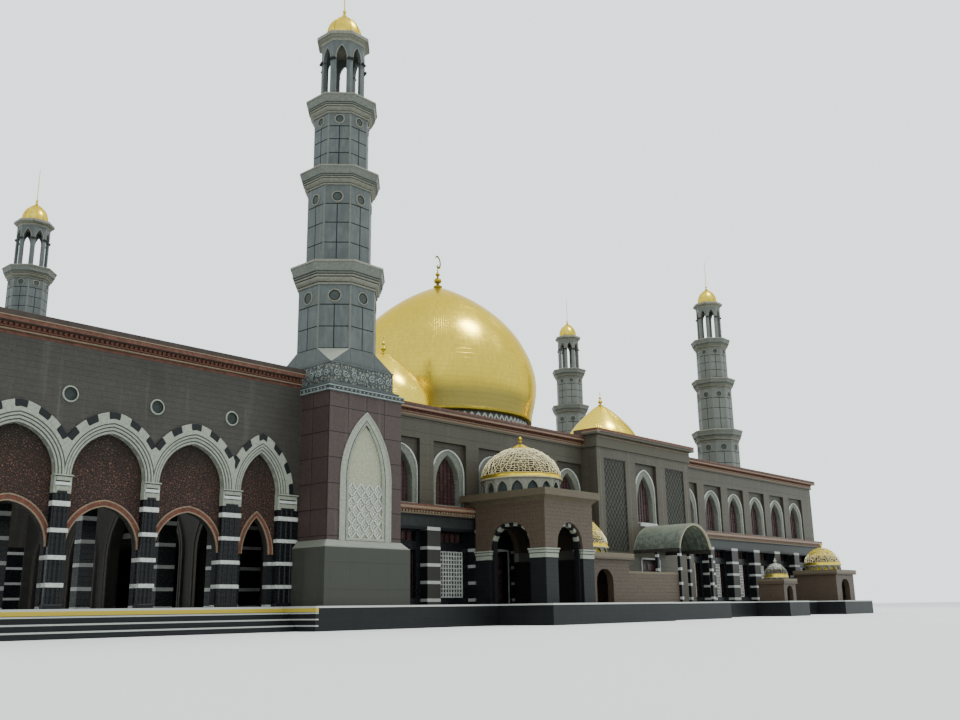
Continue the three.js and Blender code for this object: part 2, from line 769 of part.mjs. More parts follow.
piece("podium", podium(), BLACK);
const leftStretch = [TOWER_HALF + GAP, BAY_X - BAY_HALF - GAP, WINDOWS_LEFT];
const rightStretch = [BAY_X + BAY_HALF + GAP, HALL_END, WINDOWS_RIGHT];
const nearWalls = [
  ["left", wallStretch(...leftStretch, WINDOWS_LEFT[2])],
  ["bay", bayWall(true)],
  ["right", wallStretch(...rightStretch, null)],
];
const farWalls = [
  ["left", wallStretch(...leftStretch, null)],
  ["bay", bayWall(false)],
  ["right", wallStretch(...rightStretch, null)],
];
for (const [name, wall] of nearWalls) {
  piece("hall_wall_" + name + "_lower_near", lowerHalf(wall), GRANITE);
  piece("hall_wall_" + name + "_upper_near", upperHalf(wall), GRANITE);
}
for (const [name, wall] of farWalls) {
  piece("hall_wall_" + name + "_lower_far", lowerHalf(wall), GRANITE, 0, 2 * AXIS_Y, true);
  piece("hall_wall_" + name + "_upper_far", upperHalf(wall), GRANITE, 0, 2 * AXIS_Y, true);
}
piece("hall_wall_court", courtWall(), GRANITE);
piece("hall_wall_end", endWall(), GRANITE);
piece("gallery_floor", galleryFloor(), ROOF);
piece("hall_roof", hallRoof(), ROOF);
pair("hall_cornice", longCornice(), TERRACOTTA);
piece("hall_cornice_end", endCornice(), TERRACOTTA);
const leftPiers = [3.9, ...WINDOWS_LEFT.slice(1).map((x) => x + WINDOW_PITCH / 2)];
const rightPiers = [39.5, ...WINDOWS_RIGHT.slice(0, 5).map((x) => x + WINDOW_PITCH / 2), HALL_END - 1.1];
pair("lower_storey_left", lowerStorey(TOWER_HALF + 0.42, BAY_X - BAY_HALF - GAP, leftPiers), BLACK);
pair("lower_storey_right", lowerStorey(BAY_X + BAY_HALF + GAP, HALL_END - 0.5, rightPiers), BLACK);

piece("main_drum", mainDrum(), GRANITE);
piece("main_dome", mainDome(), GOLD);
cornerDomeCentres().forEach(([x, y], i) => piece("corner_dome_" + (i + 1), cornerDome(x, y), GOLD));

const nearTower = minaretTower(true);
const farTower = minaretTower(false);
const shaft = minaretShaft();
const crown = minaretCrown();
const minarets = [
  [0, 0, nearTower],
  [0, 2 * AXIS_Y, nearTower],
  [FAR_MINARET_X, FAR_MINARET_Y, farTower],
  [FAR_MINARET_X, 2 * AXIS_Y - FAR_MINARET_Y, farTower],
];
minarets.forEach(([x, y, tower], i) => {
  piece("minaret_" + (i + 1) + "_tower", tower, BROWN, x, y, i === 1);
  piece("minaret_" + (i + 1) + "_shaft", shaft, GREY, x, y);
  piece("minaret_" + (i + 1) + "_crown", crown, GREY, x, y);
});

pair("wing_walls", wingWalls(), GRANITE);
pair("wing_recess_wall", recessWall(), TERRACOTTA);
pair("wing_archivolts", archivolts(), PALE);
pair("wing_roof", wingRoof(), TERRACOTTA);

const porchArches = [
  ["x", -4.0, 1.7, 5.0, 6.44],
  ["y", 14.0, 1.35, 4.95, 6.42],
];
const porch = archedBox(11.4, 16.55, -6.95, -1.06, 8.45, 0.6, 0.42, porchArches, [13.95, -3.3, 1.4]);
// roof and cornice carried back over the string cornice to the wall
const porchBack = [block(11.4, 16.55, -1.2, -GAP, 7.6, 8.45), block(10.98, 16.97, -1.2, -GAP, 8.0, 8.45)];
piece("porch_box", join([porch, ...porchBack]), BROWN);
piece("porch_dome", smallDome(13.95, -3.0, 2.72, 8.45 + GAP, 9.55, 12.1, 0.3, 20), BRASS);
const annexArches = [["y", 19.7, 1.0, 2.7, 3.6]];
const annex = archedBox(16.95, 22.75, -5.6, -1.06, 4.7, 0.5, 0.3, annexArches, [19.7, -3.3, 1.5]);
piece("annex", annex.add(smallDome(19.7, -3.3, 2.1, 4.65, 5.2, 7.3, 0.3, 16)), BROWN);
const endArches = [["y", 62.1, 1.0, 2.6, 3.4]];
const endBox = archedBox(59.9, 64.3, -5.4, -1.06, 4.3, 0.5, 0.25, endArches, [62.1, -3.2, 1.3]);
piece("end_pavilion", endBox.add(smallDome(62.1, -3.2, 1.72, 4.25, 4.9, 6.6, 0.25, 16)), BROWN);
const kioskArches = [["y", 47.7, 0.6, 2.1, 2.65]];
const kioskBox = archedBox(46.5, 48.9, -6.1, -3.7, 3.25, 0.35, 0.15, kioskArches, [47.7, -4.9, 0.7]);
piece("kiosk", kioskBox.add(smallDome(47.7, -4.9, 1.0, 3.2, 3.47, 4.65, 0.18, 12)), BROWN);
piece("canopy", canopy(), GREEN);
piece("screen_wall", block(22.75 + GAP, 29.7, -5.5, -5.2, BASE, 3.5), BROWN);

export default part;
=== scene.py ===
"""Looks of a one-tenth scale model of a large domed mosque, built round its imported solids.

Sizes are in metres of the real building, measured from the foot of the near minaret: X along the long
front, Y from that front into the building, Z up. A finished piece is brought to the model's scale and
place by TO_MODEL.
"""

import math  # noqa: E402
import random  # noqa: E402

import bmesh  # noqa: E402
import bpy  # noqa: E402
from bpy.props import FloatProperty, FloatVectorProperty, IntProperty, PointerProperty  # noqa: E402
from mathutils import Matrix, Vector  # noqa: E402


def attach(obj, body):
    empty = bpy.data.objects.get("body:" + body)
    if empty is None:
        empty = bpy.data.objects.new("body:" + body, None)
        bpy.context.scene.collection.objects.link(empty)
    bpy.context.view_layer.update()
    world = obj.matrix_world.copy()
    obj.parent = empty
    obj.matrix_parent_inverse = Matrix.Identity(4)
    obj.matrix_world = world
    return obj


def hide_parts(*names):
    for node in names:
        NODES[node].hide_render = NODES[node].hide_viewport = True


bl_info = {
    "name": "Mosque Model",
    "version": (1, 0, 0),
    "blender": (4, 5, 0),
    "location": "View3D > Sidebar > Mosque",
    "description": "Stone, brass and gilding for a one-tenth scale model of a domed mosque",
    "category": "Object",
}

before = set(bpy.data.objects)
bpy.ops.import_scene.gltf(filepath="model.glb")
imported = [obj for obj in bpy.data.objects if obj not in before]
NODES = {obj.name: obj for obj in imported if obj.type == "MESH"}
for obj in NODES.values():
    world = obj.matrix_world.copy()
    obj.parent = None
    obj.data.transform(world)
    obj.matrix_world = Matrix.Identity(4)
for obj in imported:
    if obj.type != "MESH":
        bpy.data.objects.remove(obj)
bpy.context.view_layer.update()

SCALE = 0.1
CENTRE_X, AXIS_Y = 32.6, 23.0
TO_MODEL = Matrix.Scale(SCALE, 4) @ Matrix.Translation((-CENTRE_X, -AXIS_Y, 0))
FAR = Matrix.Translation((0, 2 * AXIS_Y, 0)) @ Matrix.Diagonal((1, -1, 1, 1))
SIDES = (("near", Matrix.Identity(4)), ("far", FAR))

WINDOW_PITCH = 4.5
WINDOWS = [CENTRE_X - 9 - WINDOW_PITCH * k for k in range(5)] + [CENTRE_X + 9 + WINDOW_PITCH * k for k in range(6)]
DOOR_X = CENTRE_X - 9 - WINDOW_PITCH * 2
HALL_END, END_FACE = 68.2, 72.4
END_WINDOWS = ((HALL_END, (5.0, 41.0)), (END_FACE, (18.5, 23.0, 27.5)))
FLOOR, ROOF = 1.31, 13.704
BAY_X, BAY_HALF, BAY_OUT = 32.2, 7.0, 1.5
TOWER_HALF = 2.82
LATTICE_SHIFT = 4.55
CANOPY_X, CANOPY_SPRINGING = 32.3, 4.8
PORTALS, PORTAL_HALF, PORTAL_SPRINGING = (11, 17, 23, 29, 35), 1.9, 5.0
PORCH_X0, PORCH_X1, PORCH_FRONT = 11.4, 16.55, -6.95
PORCH_DOME = (13.95, -3.0)
WING_START, WING_FACE, WING_BACK = -30.9, -0.3, 6.6
ARCHES = [(x, 1.9) for x in (-28.15, -23.55, -18.95, -14.35, -9.75)] + [(-5.5, 1.25)]
ARCH_LIMITS = [WING_START, -25.85, -21.25, -16.65, -12.05, -7.3, -3.1]
SPRINGING = 7.45
ROUND_WINDOWS = (-25.85, -21.25, -16.65, -12.05, -7.55)
MINARETS = ((0, 0), (0, 46), (70.3, 11.95), (70.3, 34.05))
CORNER_DOMES = [(CENTRE_X + sx * 15.9, AXIS_Y + sy * 9.0) for sy in (-1, 1) for sx in (-1, 1)]
# radius and height; the foot is half a metre over the solid dome's, so that the crests clear the roofline
MAIN_DOME = (
    (9.45, 19.22), (9.62, 20.1), (9.95, 21.6), (10.05, 22.9), (9.85, 24.4), (9.2, 26.2),
    (8.1, 28.1), (6.4, 30.0), (4.25, 31.7), (2.15, 32.95), (0.55, 33.72), (0.0, 33.9),
)
# half width, foot, foot of the balcony, its reach and top, panel joints, height and radius of the round windows
TIERS = (
    (2.33, 16.18, 20.16, 2.86, 21.6, (17.54, 18.90), 19.47, 0.33),
    (1.96, 21.05, 26.83, 2.49, 28.0, (21.71, 23.02, 24.33, 25.58), 26.05, 0.29),
    (1.70, 27.5, 31.91, 2.25, 33.1, (28.2, 29.15, 30.11, 31.01), 31.50, 0.24),
)


def linear(code):
    """A screen colour such as "7a6a5c" as the linear colour that a socket takes."""
    parts = [int(code[i:i + 2], 16) / 255 for i in (0, 2, 4)]
    return tuple(p / 12.92 if p <= 0.04045 else ((p + 0.055) / 1.055) ** 2.4 for p in parts)


def colour_property(name, description, code):
    return FloatVectorProperty(
        name=name, description=description, subtype="COLOR", size=3, min=0, max=1, default=linear(code)
    )


def metres(name, description, value):
    return FloatProperty(name=name, description=description, unit="LENGTH", min=0.001, default=value)


class MosqueSizes(bpy.types.PropertyGroup):
    """Sizes of the real building that a user would change."""

    course: metres("Wall course", "Height of a course of the wing's granite", 0.3)
    tower_panel: metres("Tower panel", "Height of a granite panel on the towers", 1.46)
    dentil_pitch: metres("Dentil pitch", "Distance between dentils of the cornices", 0.26)
    lattice_pitch: metres("Lattice pitch", "Distance between bars of the bay's lattice panels", 0.46)
    joint: metres("Joint", "Width of a joint between granite panels", 0.045)
    dome_columns: IntProperty(
        name="Dome tiles", description="Gilded tiles round the main dome", min=8, default=240
    )
    crests: IntProperty(name="Crests", description="Pointed crests round the drum", min=8, default=84)


class MosqueColours(bpy.types.PropertyGroup):
    """Colours of the finishes."""

    granite: colour_property("Granite", "Granite of the hall", "474339")
    wing_granite: colour_property("Wing granite", "Darker granite of the wings", "3b3834")
    brown: colour_property("Brown granite", "Granite of the towers", "433734")
    porch: colour_property("Porch granite", "Granite of the porch and the annex", "4e4237")
    black: colour_property("Black stone", "Polished black stone", "111214")
    white: colour_property("White stone", "White bands and nosings", "a8aaa5")
    pale: colour_property("Pale stone", "Arch rings and window frames", "83867a")
    minaret: colour_property("Minaret stone", "Panels of the shafts", "4f5453")
    moulding: colour_property("Moulding stone", "Balconies of the minarets", "6e6d62")
    terracotta: colour_property("Terracotta", "Cornices", "55372c")
    tan: colour_property("Tan stone", "Lines of the cornices", "736250")
    fascia: colour_property("Fascia", "Cornice and copings of the porches", "504839")
    brick: colour_property("Brick", "Rims of the lower openings", "5b3428")
    gold: colour_property("Gold", "Gilding of the domes", "bda63d")
    brass: colour_property("Brass", "Openwork domes", "f9eec0")
    glass: colour_property("Glass", "Window panes", "3a2a29")
    sheet: colour_property("Canopy sheet", "Ribbed sheet of the canopy", "565d53")
    roof: colour_property("Roof", "Flat roofs and floors", "474642")
    yellow: colour_property("Stripe", "Stripe on the top step", "a89438")


# Shapes


def stamp(target, source, matrix=Matrix.Identity(4)):
    """Adds a copy of one shape to another."""
    mesh = bpy.data.meshes.new("stamp")
    source.to_mesh(mesh)
    first_vert, first_face = len(target.verts), len(target.faces)
    target.from_mesh(mesh)
    bpy.data.meshes.remove(mesh)
    target.verts.ensure_lookup_table()
    target.faces.ensure_lookup_table()
    bmesh.ops.transform(target, matrix=matrix, verts=target.verts[first_vert:])
    if matrix.determinant() < 0:
        bmesh.ops.reverse_faces(target, faces=target.faces[first_face:])


def lay(target, source, *places):
    """Adds a shape at each place, or where it is, and lets go of it."""
    for matrix in places or (Matrix.Identity(4),):
        stamp(target, source, matrix)
    source.free()


def around(count, start=0.0):
    """Even turns about Z, the first by that share of a step."""
    return [Matrix.Rotation(2 * math.pi * (k + start) / count, 4, "Z") for k in range(count)]


def slice_at(work, point, normal, clear=True):
    """Cuts a shape at a plane and, where asked, takes away what lies beyond it."""
    geom = work.verts[:] + work.edges[:] + work.faces[:]
    bmesh.ops.bisect_plane(work, geom=geom, plane_co=point, plane_no=normal, clear_outer=clear)


def fill_ends(work):
    bmesh.ops.holes_fill(work, edges=[e for e in work.edges if e.is_boundary])


def draw_out(work, points, reach):
    """A flat outline drawn out into a slab."""
    face = work.faces.new([work.verts.new(p) for p in points])
    made = bmesh.ops.extrude_face_region(work, geom=[face])
    moved = [v for v in made["geom"] if isinstance(v, bmesh.types.BMVert)]
    bmesh.ops.translate(work, vec=reach, verts=moved)


def settle(target, work, finish, matrix=Matrix.Identity(4)):
    """Turns a new closed shape outwards, gives it its finish and adds it to the piece."""
    bmesh.ops.remove_doubles(work, verts=work.verts, dist=1e-4)
    bmesh.ops.recalc_face_normals(work, faces=work.faces)
    if finish is not None:
        for face in work.faces:
            face.material_index = finish
    lay(target, work, matrix)


def block(target, x0, x1, y0, y1, z0, z1, finish=0, bevel=0.0):
    work = bmesh.new()
    middle = Vector((x0 + x1, y0 + y1, z0 + z1)) / 2
    size = Matrix.Diagonal((x1 - x0, y1 - y0, z1 - z0, 1))
    bmesh.ops.create_cube(work, size=1, matrix=Matrix.Translation(middle) @ size)
    if bevel:
        bmesh.ops.bevel(
            work, geom=work.edges[:], offset=bevel, segments=1, profile=0.5, affect="EDGES", material=-1
        )
    settle(target, work, finish)


def turned(target, profile, steps, x=0.0, y=0.0, finish=0, matrix=Matrix.Identity(4)):
    """A profile of radius and height spun once about the upright line through x, y."""
    work = bmesh.new()
    verts = [work.verts.new((r, 0, z)) for r, z in profile]
    edges = [work.edges.new(pair) for pair in zip(verts, verts[1:])]
    bmesh.ops.spin(
        work, geom=verts + edges, cent=(0, 0, 0), axis=(0, 0, 1), angle=2 * math.pi, steps=steps, use_merge=True
    )
    settle(target, work, finish, matrix @ Matrix.Translation((x, y, 0)))


def sided(target, profile, x=0.0, y=0.0, finish=0):
    """The same with eight flat sides that face the axes."""
    reach = 1 / math.cos(math.pi / 8)
    turn = Matrix.Translation((x, y, 0)) @ Matrix.Rotation(math.pi / 8, 4, "Z")
    turned(target, [(r * reach, z) for r, z in profile], 8, finish=finish, matrix=turn)


def squared(target, profile, finish=0, matrix=Matrix.Identity(4)):
    """A profile of reach and height carried round a square, with mitred corners."""
    line = [(r * math.sqrt(2), z) for r, z in profile]
    turned(target, closed(line), 4, finish=finish, matrix=matrix @ Matrix.Rotation(math.pi / 4, 4, "Z"))


def closed(profile):
    return list(profile) + [profile[0]]


def arch_shift(half, rise):
    """How far past the middle line the centre of each side of a pointed arch lies."""
    return (rise * rise - half * half) / (2 * half)


def arch_points(half, springing, apex, foot, steps):
    """Points of a pointed arch from its right foot over the apex to its left foot."""
    shift = arch_shift(half, apex - springing)
    radius = half + shift
    top = math.acos(shift / radius)
    angles = [top * i / steps for i in range(steps)]
    right = [(radius * math.cos(a) - shift, springing + radius * math.sin(a)) for a in angles]
    if foot is not None:
        right.insert(0, (half, foot))
    return right + [(0, apex)] + [(-x, z) for x, z in reversed(right)]


def frame_points(half, top, points):
    """Points of a square-headed outline, one for each point of an arch."""
    foot = points[0][1]
    last = len(points) // 2
    corner = last // 2 + 1
    right = []
    for i in range(last):
        if i <= corner:
            right.append((half, foot + (top - foot) * i / corner))
        else:
            right.append((half * (last - i) / (last - corner), top))
    return right + [(0, top)] + [(-x, z) for x, z in reversed(right)]


def bridged(work, lines, looks=None):
    """Strips between lines of points, closed round, with both ends filled. looks has a finish for each strip."""
    chains = []
    for points in lines:
        verts = [work.verts.new(p) for p in points]
        chains.append([work.edges.new(pair) for pair in zip(verts, verts[1:])])
    for i, (first, second) in enumerate(zip(chains, chains[1:] + chains[:1])):
        made = bmesh.ops.bridge_loops(work, edges=first + second)
        for face in made["faces"]:
            face.material_index = looks[i] if looks else 0
    fill_ends(work)


def arch_moulding(target, rings, springing, foot=None, steps=10, finish=0, matrix=Matrix.Identity(4), looks=None):
    """A moulding round a pointed arch. Each ring is its half width, apex, place in Y and, if it has, springing."""
    work = bmesh.new()
    lines = []
    for half, apex, y, *own in rings:
        points = arch_points(half, own[0] if own else springing, apex, foot, steps)
        lines.append([(px, y, pz) for px, pz in points])
    bridged(work, lines, looks)
    settle(target, work, None if looks else finish, matrix)


def arched_panel(target, half, top, arch, y0, y1, foot, steps=8, finish=0, matrix=Matrix.Identity(4)):
    """A square-headed slab with a pointed opening down to its foot."""
    work = bmesh.new()
    inner = arch_points(*arch, foot, steps)
    outer = frame_points(half, top, inner)
    bridged(work, [[(px, y, pz) for px, pz in line] for line, y in
                   ((inner, y0), (outer, y0), (outer, y1), (inner, y1))])
    settle(target, work, finish, matrix)


def arched_sheet(target, arch, y, foot, depth=0.04, steps=8, finish=0, matrix=Matrix.Identity(4)):
    """A thin sheet that fills a pointed opening."""
    work = bmesh.new()
    draw_out(work, [(px, y, pz) for px, pz in arch_points(*arch, foot, steps)], (0, depth, 0))
    settle(target, work, finish, matrix)


def arch_width(arch, z):
    """Half width of a pointed opening at a height."""
    half, springing, apex = arch
    if z <= springing:
        return half
    shift = arch_shift(half, apex - springing)
    return max(math.sqrt(max((half + shift) ** 2 - (z - springing) ** 2, 0)) - shift, 0)


def voussoirs(target, inner, outer, springing, y0, y1, count, finishes, relief, matrix=None, plain=(0, 0)):
    """A ring of wedge stones round a pointed arch in turn in two finishes, each inset and proud of its joint.

    plain is how many of the lowest stones at the left and at the right run on in the second finish."""
    work = bmesh.new()
    lines = []
    for (half, apex), y in ((inner, y1), (inner, y0), (outer, y0), (outer, y1)):
        lines.append([(px, y, pz) for px, pz in arch_points(half, springing, apex, None, count)])
    bridged(work, lines)
    bmesh.ops.recalc_face_normals(work, faces=work.faces)
    half = (inner[0] + outer[0]) / 2
    shift = arch_shift(half, (inner[1] + outer[1]) / 2 - springing)
    top = math.acos(shift / (half + shift))
    stones = {}
    for face in work.faces:
        middle = face.calc_center_median()
        turn = math.atan2(middle.z - springing, abs(middle.x) + shift) / top
        place = int(max(turn, 0) * count / 2)
        side = 0 if place >= count // 2 and count % 2 else math.copysign(1, middle.x)
        smooth = side and place < plain[0 if side < 0 else 1]
        face.material_index = finishes[1] if smooth else finishes[(place + count // 2) % 2]
        if face.normal.y < -0.9 and not smooth:
            stones.setdefault((place, side), []).append(face)
    for faces in stones.values():
        bmesh.ops.inset_region(work, faces=faces, thickness=relief, depth=relief, use_even_offset=True)
    settle(target, work, None, matrix or Matrix.Identity(4))


def ring(target, radius, width, rise, centre, turn, finish, steps=20):
    """A raised round rim whose face looks along the turned -Y direction."""
    profile = closed([(radius, 0.0), (radius, rise), (radius + width * 0.6, rise), (radius + width, rise * 0.4),
                      (radius + width, 0.0)])
    turned(target, profile, steps, finish=finish, matrix=facing_matrix(centre, turn))


def disc(target, radius, centre, turn, finish, depth=0.02, steps=20):
    turned(target, [(0, 0), (radius, 0), (radius, depth), (0, depth)], steps, finish=finish,
           matrix=facing_matrix(centre, turn))


def facing_matrix(centre, turn):
    """Puts a shape that points up so that it points out of a wall turned by an angle about Z."""
    return Matrix.Translation(centre) @ Matrix.Rotation(turn, 4, "Z") @ Matrix.Rotation(math.pi / 2, 4, "X")


def smooth_profile(points, parts=4):
    """More points along a profile, on a curve through the given ones."""
    out = []
    last = len(points) - 1
    for i in range(last):
        before, a, b, after = (Vector(points[max(min(i + k, last), 0)]) for k in (-1, 0, 1, 2))
        for k in range(parts):
            t = k / parts
            out.append(0.5 * (2 * a + (b - before) * t + (2 * before - 5 * a + 4 * b - after) * t * t
                              + (3 * a - before - 3 * b + after) * t ** 3))
    return [(max(p[0], 0), p[1]) for p in out] + [tuple(points[-1])]


def publish(name, bm, finishes, replaces=(), sharp=32):
    """Brings a shape to the model's scale and place and makes it a piece on the building."""
    bmesh.ops.transform(bm, matrix=TO_MODEL, verts=bm.verts)
    limit = math.radians(sharp)
    for face in bm.faces:
        face.smooth = True
    for edge in bm.edges:
        edge.smooth = len(edge.link_faces) == 2 and edge.calc_face_angle(0) < limit
    mesh = bpy.data.meshes.new(name)
    bm.to_mesh(mesh)
    bm.free()
    made = bpy.data.objects.new(name, mesh)
    bpy.context.scene.collection.objects.link(made)
    for finish in finishes:
        mesh.materials.append(finish)
    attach(made, "root")
    if replaces:
        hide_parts(*replaces)
    return made


# Finishes


class Value:
    """A number that varies over a surface, so that a pattern reads as plain sums."""

    def __init__(self, finish, socket):
        self.finish = finish
        self.socket = socket

    def math(self, operation, *values):
        sockets = dict(enumerate(values))
        return Value(self.finish, self.finish.node("Math", {"operation": operation}, sockets).outputs[0])

    def __add__(self, other):
        return self.math("ADD", self, other)

    def __sub__(self, other):
        return self.math("SUBTRACT", self, other)

    def __rsub__(self, other):
        return self.math("SUBTRACT", other, self)

    def __mul__(self, other):
        return self.math("MULTIPLY", self, other)

    def __truediv__(self, other):
        return self.math("DIVIDE", self, other)

    __radd__ = __add__

    def __gt__(self, other):
        return self.math("GREATER_THAN", self, other)

    def __lt__(self, other):
        return self.math("LESS_THAN", self, other)

    def __abs__(self):
        return self.math("ABSOLUTE", self)

    def fract(self):
        return self.math("FRACT", self)

    def floor(self):
        return self.math("FLOOR", self)

    def between(self, low, high):
        return (self > low) * (self < high)

    def either(self, other):
        return self.math("MAXIMUM", self, other)

    def smooth(self, low, high):
        """0 below low, 1 above high and a soft step between."""
        settings = {"interpolation_type": "SMOOTHSTEP"}
        node = self.finish.node("MapRange", settings, {"Value": self, "From Min": low, "From Max": high})
        return Value(self.finish, node.outputs[0])


class Finish:
    """A material written as sums on the place on the real building, in metres."""

    def __init__(self, name):
        self.material = bpy.data.materials.new(name)
        self.material.use_nodes = True
        self.tree = self.material.node_tree
        self.tree.nodes.clear()
        self.shader = self.node("BsdfPrincipled")
        self.node("OutputMaterial", sockets={"Surface": self.shader.outputs[0]})
        middle = {"Scale": (1 / SCALE,) * 3, "Location": (CENTRE_X, AXIS_Y, 0)}
        place = self.node("Mapping", {}, {"Vector": self.node("TexCoord").outputs["Object"], **middle})
        self.point = place.outputs[0]
        self.x, self.y, self.z = self.parts(self.point)
        self.nx, self.ny, self.nz = self.parts(self.node("NewGeometry").outputs["Normal"])
        self.depth = AXIS_Y - abs(self.y - AXIS_Y)

    def node(self, kind, settings=None, sockets=None):
        made = self.tree.nodes.new("ShaderNode" + kind)
        for key, value in (settings or {}).items():
            setattr(made, key, value)
        for key, value in (sockets or {}).items():
            self.feed(made, key, value)
        return made

    def feed(self, node, key, value):
        """Links an input that varies and sets one that doesn't."""
        if isinstance(value, Value):
            value = value.socket
        if isinstance(value, bpy.types.NodeSocket):
            self.tree.links.new(value, node.inputs[key])
        else:
            node.inputs[key].default_value = value

    def parts(self, vector):
        made = self.node("SeparateXYZ", {}, {0: vector})
        return [Value(self, made.outputs[i]) for i in range(3)]

    def noise(self, scale, detail, stretch=(1, 1, 1)):
        """Soft noise with that many lumps to a metre."""
        vector = self.node("VectorMath", {"operation": "MULTIPLY"}, {0: self.point, 1: stretch}).outputs[0]
        made = self.node("TexNoise", {}, {"Vector": vector, "Scale": scale, "Detail": detail})
        return Value(self, made.outputs["Fac"])

    def cells(self, scale, vector=None):
        """Distance to the edges of uneven cells."""
        sockets = {"Vector": vector or self.point, "Scale": scale}
        made = self.node("TexVoronoi", {"feature": "DISTANCE_TO_EDGE"}, sockets)
        return Value(self, made.outputs["Distance"])

    def chance(self, *values):
        """A number from 0 to 1 that is the same wherever the given values are."""
        joined = self.node("CombineXYZ", {}, dict(enumerate(values))).outputs[0]
        return Value(self, self.node("TexWhiteNoise", {}, {"Vector": joined}).outputs["Value"])

    def mix(self, factor, first, second):
        """The first colour where the factor is 0 and the second where it is 1."""
        sockets = {0: factor, 6: self.solid(first), 7: self.solid(second)}
        return self.node("Mix", {"data_type": "RGBA"}, sockets).outputs[2]

    def mottle(self, scale, detail, colour, low, high):
        """A colour that wanders between two shades of itself."""
        return self.mix(self.noise(scale, detail), shade(colour, low), shade(colour, high))

    def solid(self, colour):
        return colour if isinstance(colour, bpy.types.NodeSocket) else (*colour[:3], 1)

    def along(self):
        """Place along the wall, and place up it or across a level face."""
        level = abs(self.nz) > 0.7
        turned_away = abs(self.nx) > 0.7
        return self.x + (self.y - self.x) * turned_away, self.z + (self.y - self.z) * level

    def courses(self, width, height, joint, stagger=0.5, start=(0.0, 0.0)):
        """Joint lines between blocks, and a chance value for each block."""
        across, up = self.along()
        row = (up - start[1]) / height
        shift = (row.floor() * stagger).fract()
        column = (across - start[0]) / width + shift
        lines = (column.fract() < joint / width).either(row.fract() < joint / height)
        return lines, self.chance(column.floor(), row.floor(), 0.5)

    def wear(self, colour, amount=0.35, streak=0.25):
        """Broad unevenness and rain streaks."""
        colour = self.mix(self.noise(0.35, 4).smooth(0.45, 0.75) * amount, colour, (0.02, 0.018, 0.016))
        streaks = self.noise(1.0, 3, (2.6, 2.6, 0.12)).smooth(0.55, 0.8)
        return self.mix(streaks * streak, colour, (0.24, 0.24, 0.22))

    def done(self, colour, rough=0.5, metallic=0.0, height=None, relief=0.02):
        """Sets the shader. relief is the height of the bump in metres of the real building."""
        edge = ("Specular IOR Level", 0.18) if metallic < 0.5 else ("Specular Tint", (0.85, 0.72, 0.42, 1))
        for name, value in (("Base Color", self.solid(colour)), ("Roughness", rough), ("Metallic", metallic), edge):
            self.feed(self.shader, name, value)
        if height is not None:
            bump = self.node("Bump", {}, {"Height": height, "Distance": relief * SCALE, "Strength": 0.8})
            self.feed(self.shader, "Normal", bump.outputs[0])
        return self.material


def shade(colour, factor):
    return tuple(c * factor for c in colour)


def stone(f, ground, width, height, joint, dark=0.55, stagger=0.5, start=(0.0, 0.0), grain=0.5, tone=0.3):
    """Granite in blocks: its colour and the lines and grain for the bump."""
    lines, block_tone = f.courses(width, height, joint, stagger, start)
    speck = f.noise(9.0, 6)
    colour = f.mix(speck.smooth(0.3, 0.72) * grain, shade(ground, 0.78), shade(ground, 1.28))
    colour = f.mix(block_tone * tone, colour, shade(ground, 0.62))
    colour = f.mix(lines, colour, shade(ground, dark))
    return colour, speck * 0.15 - lines, speck


def white_bands(f, bands):
    """A mask of level bands given as low and high."""
    mask = f.z.between(*bands[0])
    for band in bands[1:]:
        mask = mask.either(f.z.between(*band))
    return mask


def black_stone(f, c, bands=()):
    """Polished black stone with fine pale joints and white bands."""
    lines, tone = f.courses(0.9, 0.62, 0.012, 0.0)
    colour = f.mix(f.noise(6.0, 5).smooth(0.5, 0.8) * 0.4, c.black, shade(c.black, 2.4))
    colour = f.mix(tone * 0.3, colour, shade(c.black, 1.9))
    colour = f.mix(lines * 0.4, colour, shade(c.black, 4))
    if bands:
        colour = f.mix(white_bands(f, bands), colour, f.mix(f.noise(2.5, 4), shade(c.white, 0.7), c.white))
    return colour


# low and high of each white band, from the top
PIER_BANDS = ((5.96, 6.2), (4.745, 4.945), (3.505, 3.705), (2.26, 2.46), (1.3, 1.42))


def finish_wing(c, s):
    f = Finish("wing_granite")
    colour, height, speck = stone(f, c.wing_granite, 3 * s.course, s.course, 0.012, 0.84, tone=0.3)
    colour = f.wear(colour, 0.3, 0.12)
    piers = f.z.between(0, 6.57) * (f.x > WING_START + 0.02)
    colour = f.mix(piers, colour, black_stone(f, c, PIER_BANDS))
    soffit = (abs(f.ny) < 0.7) * f.z.between(6.56, 9.8) * (f.x > WING_START + 0.02)
    arcade_wall = f.depth.between(WING_FACE - 0.02, 0.002)
    colour = f.mix(soffit * arcade_wall, colour, f.mottle(3, 4, c.pale, 0.6, 0.9))
    return f.done(colour, 0.55 - speck * 0.15 - piers * 0.2, height=height, relief=0.02)


